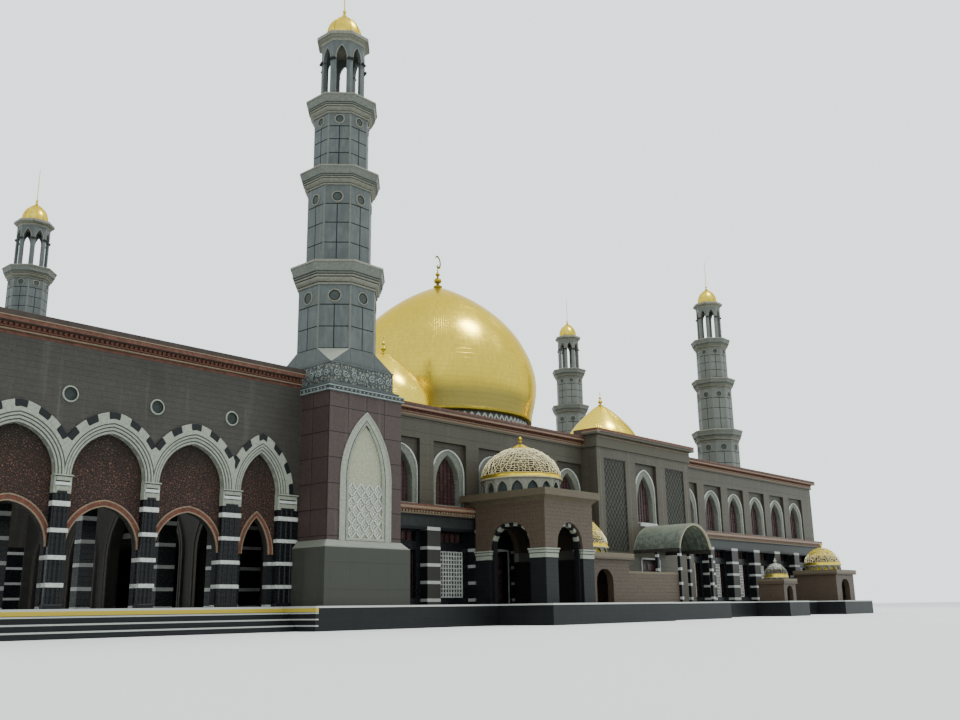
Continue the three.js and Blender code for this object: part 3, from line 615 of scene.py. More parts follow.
def finish_recess(c):
    f = Finish("mottled_mosaic")
    wobble = f.node("TexNoise", {}, {"Vector": f.point, "Scale": 5.0, "Detail": 2.0}).outputs["Color"]
    bent = f.node("VectorMath", {"operation": "MULTIPLY_ADD"}, {0: wobble, 1: (0.2,) * 3, 2: f.point}).outputs[0]
    net = f.cells(8.5, bent)
    chips = f.mix(f.noise(10.0, 2).smooth(0.4, 0.7), linear("3a261f"), linear("644537"))
    colour = f.mix(net.smooth(0.04, 0.22), (0.013, 0.009, 0.008), chips)
    # painted shade: towards the top of the recess, under the arch, the mosaic is darker and olive
    colour = f.mix(f.z.smooth(7.6, 9.4) * 0.75, colour, f.mix(net.smooth(0.1, 0.3), linear("191611"), linear("3c372f")))
    colour = f.mix(f.noise(0.6, 3).smooth(0.4, 0.7) * 0.35, colour, linear("1c1311"))
    colour = f.mix(f.z < 4.1, colour, black_stone(f, c, PIER_BANDS))
    # painted shade: faces inside the recess that do not look out, above the black base, are painted nearly black
    inside = abs(f.ny) < 0.7
    colour = f.mix(inside * (f.z > 4.1), colour, linear("1c1916"))
    return f.done(colour, 0.62, height=net.smooth(0.06, 0.3), relief=0.05)


def finish_hall(c):
    f = Finish("hall_granite")
    colour, height, speck = stone(f, c.granite, 1.5, 0.75, 0.018, 0.7, 0.0, (BAY_X, 0.4), tone=0.16)
    colour = f.wear(colour, 0.2, 0.08)
    beside = abs(f.x - BAY_X)
    # painted shade: the recessed panels beside the bay and on it are darkened between 5 and 12.6 m
    recess = (f.depth.between(0.02, 0.27) * (beside > BAY_HALF)).either(
        f.depth.between(-BAY_OUT + 0.02, -BAY_OUT + 0.3) * (beside < 6.2))
    colour = f.mix(recess * f.z.between(5, 12.6) * 0.45, colour, shade(c.granite, 0.4))
    low = (f.z < 6.9) * (beside > BAY_HALF - 0.02) * (f.x > 0.3)
    colour = f.mix(low, colour, black_stone(f, c))
    # painted shade: the court wall, seen through the arcade, is darkened towards black
    court = f.depth.between(6.7, 39.3) * (f.x < 0.5)
    colour = f.mix(court * 0.75, colour, shade(c.black, 1.5))
    edge = (abs(beside - 6.55) < 0.05).either(abs(beside - 2.45) < 0.04) * (f.depth < -BAY_OUT + 0.02)
    colour = f.mix(edge * f.z.between(4.7, 13.3) * 0.3, colour, c.tan)
    return f.done(colour, 0.55 - speck * 0.15 - low * 0.2, height=height, relief=0.02)


def finish_tower(c, s):
    f = Finish("tower_granite")
    colour, height, speck = stone(f, c.brown, 1.41, s.tower_panel, 0.045, 0.2, 0.0, (0.0, 12.36), tone=0.3)
    colour = f.wear(colour, 0.22, 0.1)
    grey = f.mottle(3.0, 5, c.minaret, 0.55, 0.95)
    lines, _ = f.courses(1.9, 1.0, 0.03, 0.0, (0.95, 15.2))
    grey = f.mix(lines * (f.z > 15.2), grey, shade(c.minaret, 0.25))
    broach = (abs(f.nx * f.ny) > 0.05) * (f.z > 15.0)
    grey = f.mix(broach, grey, f.mottle(3.0, 5, c.pale, 0.8, 1.05))
    # painted shade and light of the carving: cell edges are darkened as shade in carved grooves, cell middles lightened
    # as light on the relief
    cut = f.cells(4.2)
    carved = f.z.between(13.84, 15.16)
    grey = f.mix(cut.smooth(0.1, 0.02) * carved * 0.8, grey, shade(c.minaret, 0.2))
    grey = f.mix(cut.smooth(0.12, 0.26) * carved * 0.5, grey, linear("7d7e6f"))
    colour = f.mix(f.z > 13.28, colour, grey)
    plinth = f.mix(0.35, black_stone(f, c), linear("55564b"))
    colour = f.mix(f.z < 4.45, colour, plinth)
    sill = f.mottle(3, 4, c.pale, 0.5, 0.72)
    colour = f.mix(f.z.between(4.45, 4.87), colour, sill)
    return f.done(colour, 0.5 - speck * 0.15, height=height, relief=0.03)


def finish_far_tower(c, s):
    f = Finish("far_tower_granite")
    colour, height, speck = stone(f, c.minaret, s.tower_panel, s.tower_panel, s.joint, 0.35, 0.0, tone=0.3)
    return f.done(f.wear(colour, 0.3, 0.2), 0.55 - speck * 0.15, height=height, relief=0.03)


def finish_podium(c):
    f = Finish("podium_stone")
    side = abs(f.nz) < 0.5
    colour = black_stone(f, c)
    paving, height, _ = stone(f, shade(c.roof, 3.0), 0.9, 0.9, 0.015, 0.5, 0.0, grain=0.3)
    colour = f.mix(side, paving, colour)
    colour = f.mix((f.z > 1.2) * side, colour, c.white)
    steps = (f.x < -4.0) * side
    nosing = ((f.z / 0.325 + 0.001).fract() > 0.78) * steps
    colour = f.mix(nosing, colour, shade(c.white, 0.85))
    colour = f.mix(f.z.between(1.0, 1.2) * steps, colour, c.yellow)
    return f.done(colour, 0.45, height=height * (1 - side), relief=0.01)


def finish_lower_storey(c):
    f = Finish("banded_piers")
    bands = ((5.97, 6.19), (4.76, 4.96), (3.69, 3.89), (2.6, 2.8), (1.5, 1.7))
    colour = black_stone(f, c, bands)
    between = (((f.x - 43.25) / WINDOW_PITCH).fract() > 0.267) * (f.z > 5.96)
    colour = f.mix(between, colour, black_stone(f, c))
    # painted light: faces looking along Y, all but the white bands, are made grey, lighter than the black side faces
    colour = f.mix((f.ny < -0.7).either(f.ny > 0.7) * (1 - white_bands(f, bands)) * 0.55, colour, linear("403e3a"))
    colour = f.mix(f.z > 6.2, colour, f.mix(f.noise(4, 4), linear("1b1d1c"), linear("313433")))
    tan = f.mottle(4, 4, c.tan, 0.8, 1.15)
    colour = f.mix(f.z > 6.95, colour, tan)
    dark = f.z.between(7.2, 7.28).either(f.z > 7.42)
    colour = f.mix(dark, colour, cornice_colour(f, c))
    return f.done(colour, 0.4, height=f.noise(6, 4), relief=0.004)


def cornice_colour(f, c):
    across, _ = f.along()
    joint = (across / 0.9).fract() < 0.02
    grain = f.noise(5.0, 5)
    colour = f.mix(grain.smooth(0.3, 0.7), shade(c.terracotta, 0.75), shade(c.terracotta, 1.25))
    return f.mix(joint * 0.7, colour, shade(c.terracotta, 0.4))


def finish_wing_cornice(c):
    f = Finish("wing_cornice")
    colour = cornice_colour(f, c)
    cap = f.mix(f.noise(2.0, 5), linear("251e1c"), linear("403630"))
    colour = f.mix(f.z > 14.46, colour, cap)
    colour = f.mix(f.z.between(13.86, 13.96), colour, c.tan)
    colour = f.mix((f.nz > 0.7) * (f.depth > 0.12), colour, f.mix(f.noise(1.5, 4), shade(c.roof, 0.7), c.roof))
    colour = f.mix(f.nz < -0.7, colour, linear("4a423b"))
    return f.done(colour, 0.6, height=f.noise(8, 4), relief=0.004)


def finish_hall_cornice(c):
    """Granite below, red stone above with a tan line; over the bay the red is only a thin top edge."""
    f = Finish("hall_cornice")
    over_bay = (abs(f.x - BAY_X) < BAY_HALF + 0.5) * (f.depth < -0.46)
    granite = f.mottle(5.0, 5, c.granite, 0.8, 1.1)
    colour = f.mix(f.z > 13.45, granite, cornice_colour(f, c))
    colour = f.mix(f.z.between(13.45, 13.53).either(f.z.between(13.86, 13.94)), colour, c.tan)
    colour = f.mix(f.z > 14.3, colour, f.mix(f.noise(3.0, 4), linear("342a26"), linear("4e423b")))
    high = f.mottle(5.0, 5, c.granite, 0.85, 1.15)
    high = f.mix(f.z > 14.5, high, cornice_colour(f, c))
    high = f.mix(f.z.between(14.42, 14.5), high, c.tan)
    colour = f.mix(over_bay, colour, high)
    colour = f.mix(f.nz > 0.7, colour, shade(c.roof, 0.9))
    return f.done(colour, 0.6, height=f.noise(8, 4), relief=0.004)


def finish_porch(c):
    f = Finish("porch_granite")
    colour, height, speck = stone(f, c.porch, 0.5, 0.25, 0.016, 0.6, tone=0.22)
    colour = f.mix(f.z < 4.12, colour, black_stone(f, c))
    band = f.mottle(3, 4, c.pale, 0.5, 0.75)
    colour = f.mix(f.z.between(4.12, 4.72), colour, band)
    fascia = f.mottle(2.0, 4, c.fascia, 0.8, 1.15)
    colour = f.mix(f.z > 7.71, colour, fascia)
    colour = f.mix((f.nz > 0.7) * (f.z > 8), colour, shade(c.roof, 0.8))
    # painted shade: faces inside the porch are darkened towards near black
    inside = f.x.between(11.95, 16.0) * f.y.between(-6.4, -1.5)
    colour = f.mix(inside * 0.7, colour, linear("171210"))
    return f.done(colour, 0.55 - speck * 0.15, height=height, relief=0.015)


def finish_small_granite(c):
    f = Finish("annex_granite")
    colour, height, speck = stone(f, c.porch, 0.5, 0.25, 0.014, 0.62, tone=0.25)
    coping = f.z.between(3.36, 3.51) * f.x.between(22.7, 29.8)
    coping = coping.either(f.z.between(4.4, 4.71) * f.x.between(16.6, 23.1))
    coping = coping.either(f.z.between(4.0, 4.31) * f.x.between(59.5, 64.7))
    coping = coping.either(f.z.between(3.05, 3.26) * f.x.between(46.2, 49.2))
    colour = f.mix(coping, colour, f.mottle(2, 4, c.fascia, 1.1, 1.5))
    gilded = (f.z > 4.71).either((f.z > 4.31) * (f.x > 59))
    curls = f.cells(4.5).smooth(0.03, 0.13)
    colour = f.mix(gilded, colour, f.mix(curls, shade(c.gold, 0.25), c.gold))
    speckled = (f.z > 3.27) * f.x.between(46.2, 49.2)
    colour = f.mix(speckled, colour, f.mix(curls, shade(c.pale, 0.15), shade(c.pale, 1.3)))
    return f.done(colour, 0.55 - speck * 0.15, height=height, relief=0.015)


def finish_roof(c):
    f = Finish("roof_screed")
    colour, height, _ = stone(f, c.roof, 3.0, 3.0, 0.03, 0.6, 0.0, grain=0.3)
    return f.done(f.wear(colour, 0.35, 0.2), 0.8, height=height, relief=0.01)


def finish_pale(name, ground, rough=0.6):
    f = Finish(name)
    grain = f.noise(7.0, 5)
    colour = f.mix(grain.smooth(0.3, 0.75), shade(ground, 0.82), shade(ground, 1.12))
    colour = f.mix(f.noise(0.8, 4, (1, 1, 0.3)).smooth(0.5, 0.8) * 0.35, colour, shade(ground, 0.5))
    return f.done(colour, rough, height=grain, relief=0.006)


def finish_plain_stone(name, ground, rough=0.45, spread=1.5):
    f = Finish(name)
    colour = f.mix(f.noise(5.0, 5).smooth(0.35, 0.75), ground, shade(ground, spread))
    return f.done(colour, rough, height=f.noise(9, 4), relief=0.004)


def finish_shaft(c):
    f = Finish("minaret_panels")
    grain = f.noise(4.0, 6, (1, 1, 0.35))
    colour = f.mix(grain.smooth(0.3, 0.75), shade(c.minaret, 0.8), shade(c.minaret, 1.12))
    patch = f.chance((f.x * 0.69 + 0.5).floor(), (f.y * 0.69 + 0.5).floor(), (f.z / 1.33).floor())
    colour = f.mix(patch * 0.3, colour, shade(c.minaret, 0.62))
    colour = f.mix(f.noise(1.2, 4, (2, 2, 0.12)).smooth(0.55, 0.8) * 0.35, colour, shade(c.minaret, 1.5))
    colour = f.mix(f.noise(1.5, 4, (2.5, 2.5, 0.1)).smooth(0.6, 0.8) * 0.4, colour, shade(c.minaret, 0.5))
    # painted haze: the far minarets, past x 40, are lightened as light scattered in the air would lighten them
    colour = f.mix((f.x > 40) * 0.25, colour, shade(c.moulding, 1.3))
    return f.done(colour, 0.5, height=grain, relief=0.006)


def finish_gold(c, name, columns, centre, middle, rows):
    """Gilded tiles laid in rings round a dome, with a faint dark joint and uneven gilding; painted reflection darkens
    it towards its foot, and painted light makes the corner domes lighter.
    """
    f = Finish(name)
    x, y, z = f.x - centre[0], f.y - centre[1], f.z - middle
    out = (x * x + y * y).math("SQRT", x * x + y * y)
    turn = x.math("ARCTAN2", y, x) * (columns / (2 * math.pi))
    rise = x.math("ARCTAN2", z, out) * (rows / math.pi)
    lines = (turn.fract() < 0.05).either(rise.fract() < 0.06)
    tone = f.chance(turn.floor(), rise.floor(), 0.5)
    # painted light: the gilding of the corner domes is made lighter than that of the main dome
    painted_light_gain = 1.0 if middle > 20 else 1.3
    colour = f.mix(tone, shade(c.gold, 0.93 * painted_light_gain), shade(c.gold, 1.04 * painted_light_gain))
    colour = f.mix(f.noise(0.25, 3).smooth(0.4, 0.8) * 0.25, colour, shade(c.gold, 0.7))
    colour = f.mix(lines * 0.3, colour, shade(c.gold, 0.5))
    # painted reflection: darker towards the foot of the dome, where the dark roof would be mirrored
    colour = f.mix(f.z.smooth(middle - 1.0, middle - 2.4) * 0.65, colour, linear("6a6448"))
    return f.done(colour, 0.22 + tone * 0.05, 0.95, height=tone * 0.1 - lines, relief=0.004)


def finish_metal(name, ground, rough=0.3, metallic=0.9):
    f = Finish(name)
    colour = f.mix(f.noise(2.5, 4).smooth(0.35, 0.75), shade(ground, 0.8), shade(ground, 1.05))
    return f.done(colour, f.noise(3, 3) * 0.15 + rough, metallic, height=f.noise(6, 3), relief=0.003)


def finish_glass(c):
    f = Finish("window_glass")
    pane = f.chance((f.x / 0.36).floor(), (f.y / 0.36).floor(), (f.z / 0.42).floor())
    colour = f.mix(pane * 0.6, c.glass, shade(c.glass, 2.0))
    return f.done(colour, 0.2 + pane * 0.15)


def finish_brick(c):
    f = Finish("rim_brick")
    grain = f.noise(6.0, 5)
    colour = f.mix(grain.smooth(0.3, 0.7), shade(c.brick, 0.7), shade(c.brick, 1.25))
    return f.done(colour, 0.75, height=grain, relief=0.01)


def finish_sheet(c):
    f = Finish("canopy_sheet")
    ribs = (f.y / 0.14).fract()
    rib = abs(ribs - 0.5).smooth(0.34, 0.5)
    patch = f.noise(2.2, 5).smooth(0.35, 0.7)
    colour = f.mix(patch, shade(c.sheet, 0.72), shade(c.sheet, 1.25))
    colour = f.mix(f.noise(5.0, 5).smooth(0.5, 0.75) * 0.5, colour, linear("808477"))
    # painted light: the sheet is lightened towards the top of the canopy
    colour = f.mix((f.z - 6.2).smooth(0.0, 1.3) * 0.45, colour, linear("888a76"))
    colour = f.mix(rib * 0.5, colour, shade(c.sheet, 0.45))
    return f.done(colour, 0.5, 0.1, height=rib, relief=0.04)


def finish_drum():
    """Weathered dark stone behind the pale crests."""
    f = Finish("drum_stone")
    colour = f.mix(f.noise(3.0, 4), linear("45443f"), linear("5c5b54"))
    return f.done(colour, 0.6, height=f.noise(6, 4), relief=0.004)


def make_finishes(c, s):
    made = {
        "wing": finish_wing(c, s), "recess": finish_recess(c), "hall": finish_hall(c),
        "tower": finish_tower(c, s), "far_tower": finish_far_tower(c, s), "podium": finish_podium(c),
        "lower": finish_lower_storey(c), "wing_cornice": finish_wing_cornice(c),
        "hall_cornice": finish_hall_cornice(c), "porch": finish_porch(c),
        "annex": finish_small_granite(c), "roof": finish_roof(c), "shaft": finish_shaft(c),
        "pale": finish_pale("pale_stone", c.pale), "moulding": finish_pale("moulding_stone", c.moulding),
        "white": finish_pale("white_stone", c.white), "black": finish_plain_stone("black_stone", c.black),
        # dark joints, and painted shade in the grooves between the balcony rolls
        "joint": finish_plain_stone("dark_joint_and_painted_shade", shade(c.minaret, 0.16), 0.8),
        "reveal": finish_pale("window_reveal", shade(c.pale, 0.55)), "tan": finish_pale("tan_stone", c.tan),
        "terracotta": finish_pale("terracotta", c.terracotta, 0.7),
        "carved": finish_pale("carved_grey", shade(c.minaret, 0.8)), "brick": finish_brick(c),
        "gilt": finish_metal("gilt", shade(c.gold, 1.15), 0.25),
        "old_gilt": finish_metal("old_gilt", shade(c.gold, 0.5), 0.3),
        "brass": finish_metal("brass_net", c.brass, 0.35, 0.2),
        "brown": finish_plain_stone("dome_ground", linear("2f211a"), 0.7),
        "bronze": finish_plain_stone("window_bars", linear("251918"), 0.4),
        "lattice": finish_plain_stone("lattice_bars", linear("41413a"), 0.45, 1.3),
        "dark": finish_plain_stone("dark_panel", linear("2c2926"), 0.5), "drum": finish_drum(),
        "panel": finish_plain_stone("lattice_ground", linear("252520"), 0.5),
        "fascia": finish_pale("moulding_fascia", linear("60635c")),
        "light": finish_pale("moulding_light", shade(c.moulding, 1.25)),
        "cream": finish_pale("cream_rim", linear("ada687"), 0.5),
        "grille": finish_plain_stone("round_lattice", linear("313836"), 0.6, 1.3),
        "coping": finish_pale("porch_fascia", c.fascia),
        # painted shade in grooves of mouldings, hollows of the carving and under cornice lips; also the dark outline
        # and bars of the round windows
        "shadow": finish_plain_stone("painted_shade_and_dark_bars", linear("303533"), 0.8),
        "studs": finish_pale("pale_studs", shade(c.minaret, 2.2)),
        "glass": finish_glass(c), "sheet": finish_sheet(c),
        "infill": finish_pale("niche_infill", linear("898b77")),
        "gold_main": finish_gold(c, "gold_main", s.dome_columns, (CENTRE_X, AXIS_Y), 22.9, 66),
    }
    for i, centre in enumerate(CORNER_DOMES):
        name = f"gold_corner_{i + 1}"
        made[name] = finish_gold(c, name, 96, centre, 17.2, 60)
    return made


FINISHES = {}


def finishes(*names):
    return [FINISHES[n] for n in names]


NODE_FINISHES = {
    "podium": "podium", "hall_wall": "hall", "gallery_floor": "roof", "hall_roof": "roof",
    "hall_cornice": "hall_cornice", "lower_storey": "lower", "wing_walls": "wing", "wing_recess": "recess",
    "wing_roof": "wing_cornice", "porch_box": "porch", "annex": "annex", "end_pavilion": "annex",
    "kiosk": "annex", "screen_wall": "annex", "minaret_1_tower": "tower", "minaret_2_tower": "tower",
    "minaret_3_tower": "far_tower", "minaret_4_tower": "far_tower",
}


class MOSQUE_OT_stonework(bpy.types.Operator):
    """Gives every solid that stays in view its stone"""

    bl_idname = "mosque.stonework"
    bl_label = "Stonework"

    def execute(self, context):
        FINISHES.update(make_finishes(context.scene.mosque_colours, context.scene.mosque_sizes))
        for name, solid in NODES.items():
            kinds = [v for k, v in NODE_FINISHES.items() if name.startswith(k)]
            if kinds:
                solid.data.materials.clear()
                solid.data.materials.append(FINISHES[kinds[0]])
        return {"FINISHED"}


# Minarets


def balcony(target, half, low, reach, top, looks):
    """Rolls, dark grooves of painted shade and a flared fascia with a lip that carry an eight-sided balcony."""
    core, roll, fascia = looks
    out, up = reach - half, top - low

    def at(points):
        return [(half + out * a, low + up * b) for a, b in points]

    # the core in the dark finish shows between the rolls as painted shade in the grooves
    dark = at(((0, 0), (0.05, 0.1), (0.36, 0.32), (0.5, 0.42), (0.58, 0.52), (0.6, 0.58)))
    sided(target, [(0, low)] + dark + [(0, dark[-1][1])], finish=core)
    for points, finish in (
        (((0.12, 0.0), (0.16, 0.03), (0.16, 0.07)), roll),
        (((0.14, 0.11), (0.3, 0.16), (0.44, 0.25), (0.44, 0.29)), roll),
        (((0.5, 0.33), (0.55, 0.36), (0.55, 0.4)), roll),
        (((0.6, 0.44), (0.65, 0.46), (0.65, 0.49)), fascia),
    ):
        line = at(points)
        sided(target, [(0, line[0][1])] + line + [(0, line[-1][1])], finish=finish)
    sided(target, closed(at(((0.3, 0.53), (0.66, 0.53), (0.74, 0.66), (0.9, 0.82), (0.93, 0.9), (0.76, 0.9),
                             (0.76, 0.62), (0.3, 0.6)))), finish=fascia)
    sided(target, closed(at(((0.76, 0.9), (1, 0.9), (1, 0.98), (0.97, 1), (0.76, 1)))), finish=roll)
    sided(target, [(0, low + up * 0.5), *at(((0.74, 0.55), (0.74, 0.62))), (0, low + up * 0.62)], finish=fascia)


def panelled_tier(target, half, low, high, lines, joint, looks):
    """One tier of a shaft: panels in two columns on each of eight sides, one above them, and pale arrises."""
    panel_finish, joint_finish, arris_finish = looks
    work = bmesh.new()
    reach = (half - 0.03) / math.cos(math.pi / 8)
    turn = Matrix.Translation((0, 0, (low + high) / 2)) @ Matrix.Rotation(math.pi / 8, 4, "Z")
    bmesh.ops.create_cone(
        work, cap_ends=False, segments=8, radius1=reach, radius2=reach, depth=high - low, matrix=turn
    )
    for z in lines:
        slice_at(work, (0, 0, z), (0, 0, 1), False)
    for i in range(4):
        angle = i * math.pi / 4
        below = [face for face in work.faces if face.calc_center_median().z < lines[-1]]
        edges = {edge for face in below for edge in face.edges}
        verts = {vert for face in below for vert in face.verts}
        bmesh.ops.bisect_plane(
            work, geom=[*verts, *edges, *below], plane_co=(0, 0, 0), plane_no=(math.sin(angle), -math.cos(angle), 0)
        )
    bmesh.ops.recalc_face_normals(work, faces=work.faces)
    for face in work.faces:
        face.material_index = panel_finish
    made = bmesh.ops.inset_individual(work, faces=work.faces[:], thickness=joint, depth=0.03)
    for face in made["faces"]:
        face.material_index = joint_finish
    fill_ends(work)
    lay(target, work)
    arris = bmesh.new()
    block(arris, -0.055, 0.055, -reach - 0.015, -reach + 0.1, low, high, arris_finish)
    lay(target, arris, *around(8, 0.5))


def cupola(target, radius, low, high, ribs, finish, rib_finish):
    """A gilded cupola with raised ribs."""
    rise = high - low
    curve = [(radius * a, low + rise * b) for a, b in
             ((0.9, 0.0), (0.97, 0.1), (1.0, 0.23), (0.97, 0.38), (0.88, 0.53), (0.7, 0.7), (0.46, 0.84), (0.2, 0.95),
              (0.06, 1.0))]
    curve = smooth_profile(curve, 2)
    turned(target, [(0, low)] + curve + [(0, high)], 32, finish=finish)
    for turn in around(ribs, 0.5):
        work = bmesh.new()
        line = [(r + 0.03, z) for r, z in curve] + [(r - 0.03, z) for r, z in reversed(curve)]
        draw_out(work, [(r, 0, z) for r, z in line], (0, 0.05, 0))
        bmesh.ops.translate(work, vec=(0, -0.025, 0), verts=work.verts)
        settle(target, work, rib_finish, turn)


def minaret_shaft(joint):
    bm = bmesh.new()
    for half, low, corbel, reach, top, lines, round_z, radius in TIERS:
        panelled_tier(bm, half, low, corbel + 0.05, lines, joint, (0, 1, 4))
        balcony(bm, half, corbel, reach, top, (1, 2, 4))
        for i in range(8):
            turn = i * math.pi / 4
            centre = Vector((math.sin(turn), -math.cos(turn), 0)) * (half - 0.005)
            centre.z = round_z
            ring(bm, radius * 1.04, 0.09, 0.06, centre, turn, 2, 16)
            ring(bm, radius * 0.86, radius * 0.18, 0.05, centre, turn, 1, 16)
            disc(bm, radius * 0.9, centre, turn, 3, 0.03, 16)
    return bm


def minaret_crown():
    bm = bmesh.new()
    sided(bm, [(0, 32.56), (1.5, 32.56), (1.5, 33.15), (1.42, 33.25), (0, 33.25)], finish=0)
    half = 1.37
    width = half * math.tan(math.pi / 8)
    for i in range(8):
        turn = Matrix.Rotation(i * math.pi / 4, 4, "Z")
        arched_panel(bm, width, 37.55, (0.33, 36.15, 37.0), -half, -half + 0.24, 33.2, 6, 0, turn)
        arch_moulding(bm, [(0.34, 37.02, -half + 0.02), (0.34, 37.02, -half - 0.03), (0.4, 37.1, -half - 0.03),
                           (0.4, 37.1, -half + 0.02)], 36.15, 36.0, 6, 1, turn)
        corner = bmesh.new()
        block(corner, -0.2, 0.2, -0.16, 0.2, 35.98, 36.12, 2, 0.02)
        block(corner, -0.2, 0.2, -0.14, 0.2, 33.22, 33.4, 1, 0.02)
        out = Matrix.Rotation((i + 0.5) * math.pi / 4, 4, "Z") @ Matrix.Translation((0, -half * 1.045, 0))
        lay(bm, corner, out)
    sided(bm, [(0, 37.35), (1.39, 37.35), (1.42, 37.45), (1.42, 37.52), (1.56, 37.6), (1.58, 37.66), (1.69, 37.68),
               (1.69, 37.88), (1.64, 37.95), (1.2, 38.02), (0, 38.02)], finish=1)
    cupola(bm, 1.16, 37.95, 39.98, 12, 3, 4)
    turned(bm, [(0, 39.9), (0.14, 39.92), (0.17, 40.05), (0.1, 40.15), (0.05, 40.2), (0.12, 40.3), (0.12, 40.42),
                (0.04, 40.5), (0.035, 42.6), (0.02, 43.78), (0, 43.8)], 10, finish=4)
    return bm


class MOSQUE_OT_minarets(bpy.types.Operator):
    """Panelled shafts with balconies, and open lanterns with ribbed cupolas"""

    bl_idname = "mosque.minarets"
    bl_label = "Minarets"

    def execute(self, context):
        shaft = minaret_shaft(context.scene.mosque_sizes.joint)
        crown = minaret_crown()
        for i, (x, y) in enumerate(MINARETS):
            for kind, source in (("shaft", shaft), ("crown", crown)):
                bm = bmesh.new()
                stamp(bm, source, Matrix.Translation((x, y, 0)))
                look = ("shaft", "joint", "moulding", "grille", "fascia") if kind == "shaft" else (
                    "shaft", "moulding", "joint", "gilt", "gilt")
                publish(f"minaret_{i + 1}_{kind}_finished", bm, finishes(*look),
                        [f"minaret_{i + 1}_{kind}"])
        shaft.free()
        crown.free()
        return {"FINISHED"}


def carved_block(bm, half):
    """Pale rosettes and studs with dark hearts, painted shade in their hollows, on the carved block of a minaret."""
    for low, high, out in ((15.06, 15.14, 0.03), (13.86, 13.95, 0.05)):
        squared(bm, [(half - 0.1, low), (half + out, low), (half + out, high), (half - 0.1, high)], 0)
    for turn in around(4):
        row = bmesh.new()
        for k in range(7):
            x = (k - 3) * 0.68
            ring(row, 0.13, 0.07, 0.06, Vector((x, -half, 14.5)), 0, 1, 10)
            # discs in finish 2, here and below, are painted shade in the hollows
            disc(row, 0.13, Vector((x, -half, 14.5)), 0, 2, 0.03, 10)
            disc(row, 0.06, Vector((x, -half, 14.5)), 0, 1, 0.06, 6)
            if k < 6:
                for z in (14.93, 14.1):
                    disc(row, 0.12, Vector((x + 0.34, -half, z)), 0, 2, 0.02, 3)
                    disc(row, 0.06, Vector((x + 0.34, -half, z)), 0, 1, 0.05, 3)
        lay(bm, row, turn)


def studded_moulding(bm):
    """Two pale lines with rosettes and studs on a dark band between them, round a tower; the dark band is painted
    shade.
    """
    reach = TOWER_HALF + 0.1
    # the band in finish 2 is painted shade on the recessed band between the pale lines
    for low, high, out, finish in ((13.3, 13.37, 0.04, 1), (13.37, 13.55, 0.01, 2), (13.55, 13.62, 0.04, 1),
                                   (13.72, 13.8, -0.19, 0)):
        squared(bm, [(reach - 0.25, low), (reach + out, low), (reach + out, high), (reach - 0.25, high)], finish)
    side = bmesh.new()
    for n in range(9):
        ring(side, 0.035, 0.04, 0.06, Vector(((n - 4) * 0.64, -reach, 13.46)), 0, 1, 8)
        if n < 8:
            disc(side, 0.055, Vector(((n - 3.5) * 0.64, -reach, 13.46)), 0, 1, 0.05, 4)
    lay(bm, side, *around(4))


class MOSQUE_OT_towers(bpy.types.Operator):
    """Carved blocks, studded mouldings and blind niches of the towers"""

    bl_idname = "mosque.towers"
    bl_label = "Towers"

    def execute(self, context):
        for i, (x, y) in enumerate(MINARETS):
            bm = bmesh.new()
            carved_block(bm, 2.445)
            if i < 2:
                studded_moulding(bm)
            done = bmesh.new()
            lay(done, bm, FAR if i == 1 else Matrix.Translation((x, y, 0)))
            publish(f"minaret_{i + 1}_carving", done, finishes("carved", "studs", "shadow"))
        for i in (0, 1):
            done = bmesh.new()
            lay(done, tower_niche(), FAR if i else Matrix.Identity(4))
            publish(f"minaret_{i + 1}_niche", done, finishes("pale", "infill", "white", "shadow"))
        return {"FINISHED"}


# half width, place behind the tower's face and finish of each line of the frame; the strip in finish 3 is painted shade
# in a groove of the frame
NICHE_STEPS = (
    (1.965, 0.02, 0), (1.965, -0.05, 0), (1.89, -0.06, 0), (1.86, -0.02, 0), (1.52, -0.02, 3), (1.46, 0.03, 0),
    (1.45, -0.03, 0), (1.4, -0.03, 1), (1.36, 0.01, 0), (1.35, -0.01, 0), (1.28, 0.0, 0), (1.27, 0.1, 0),
    (1.27, 0.38, 0), (1.5, 0.38, 0), (1.5, 0.02, 0),
)


def tower_niche():
    """Moulded frame, pale infill and diamond relief of the blind niche."""
    bm = bmesh.new()
    face, place = -TOWER_HALF, Matrix.Translation((0.04, 0, 0))
    rings = [(half, 12.35 - 1.108 * (1.965 - half), face + y) for half, y, _ in NICHE_STEPS]
    arch_moulding(bm, rings, 8.3, 4.86, 14, 0, place, [look for _, _, look in NICHE_STEPS])
    arched_sheet(bm, (1.3, 8.3, 11.6), face + 0.1, 4.86, 0.1, 14, 1, place)
    block(bm, -1.44, 1.52, face - 0.05, face + 0.3, 4.86, 5.02, 0, 0.02)
    relief = bmesh.new()
    diamond_relief(relief, 0.665, 0.785, 4, 4, 2)
    lay(bm, relief, Matrix.Translation((0.04, face + 0.1, 4.98)))
    return bm


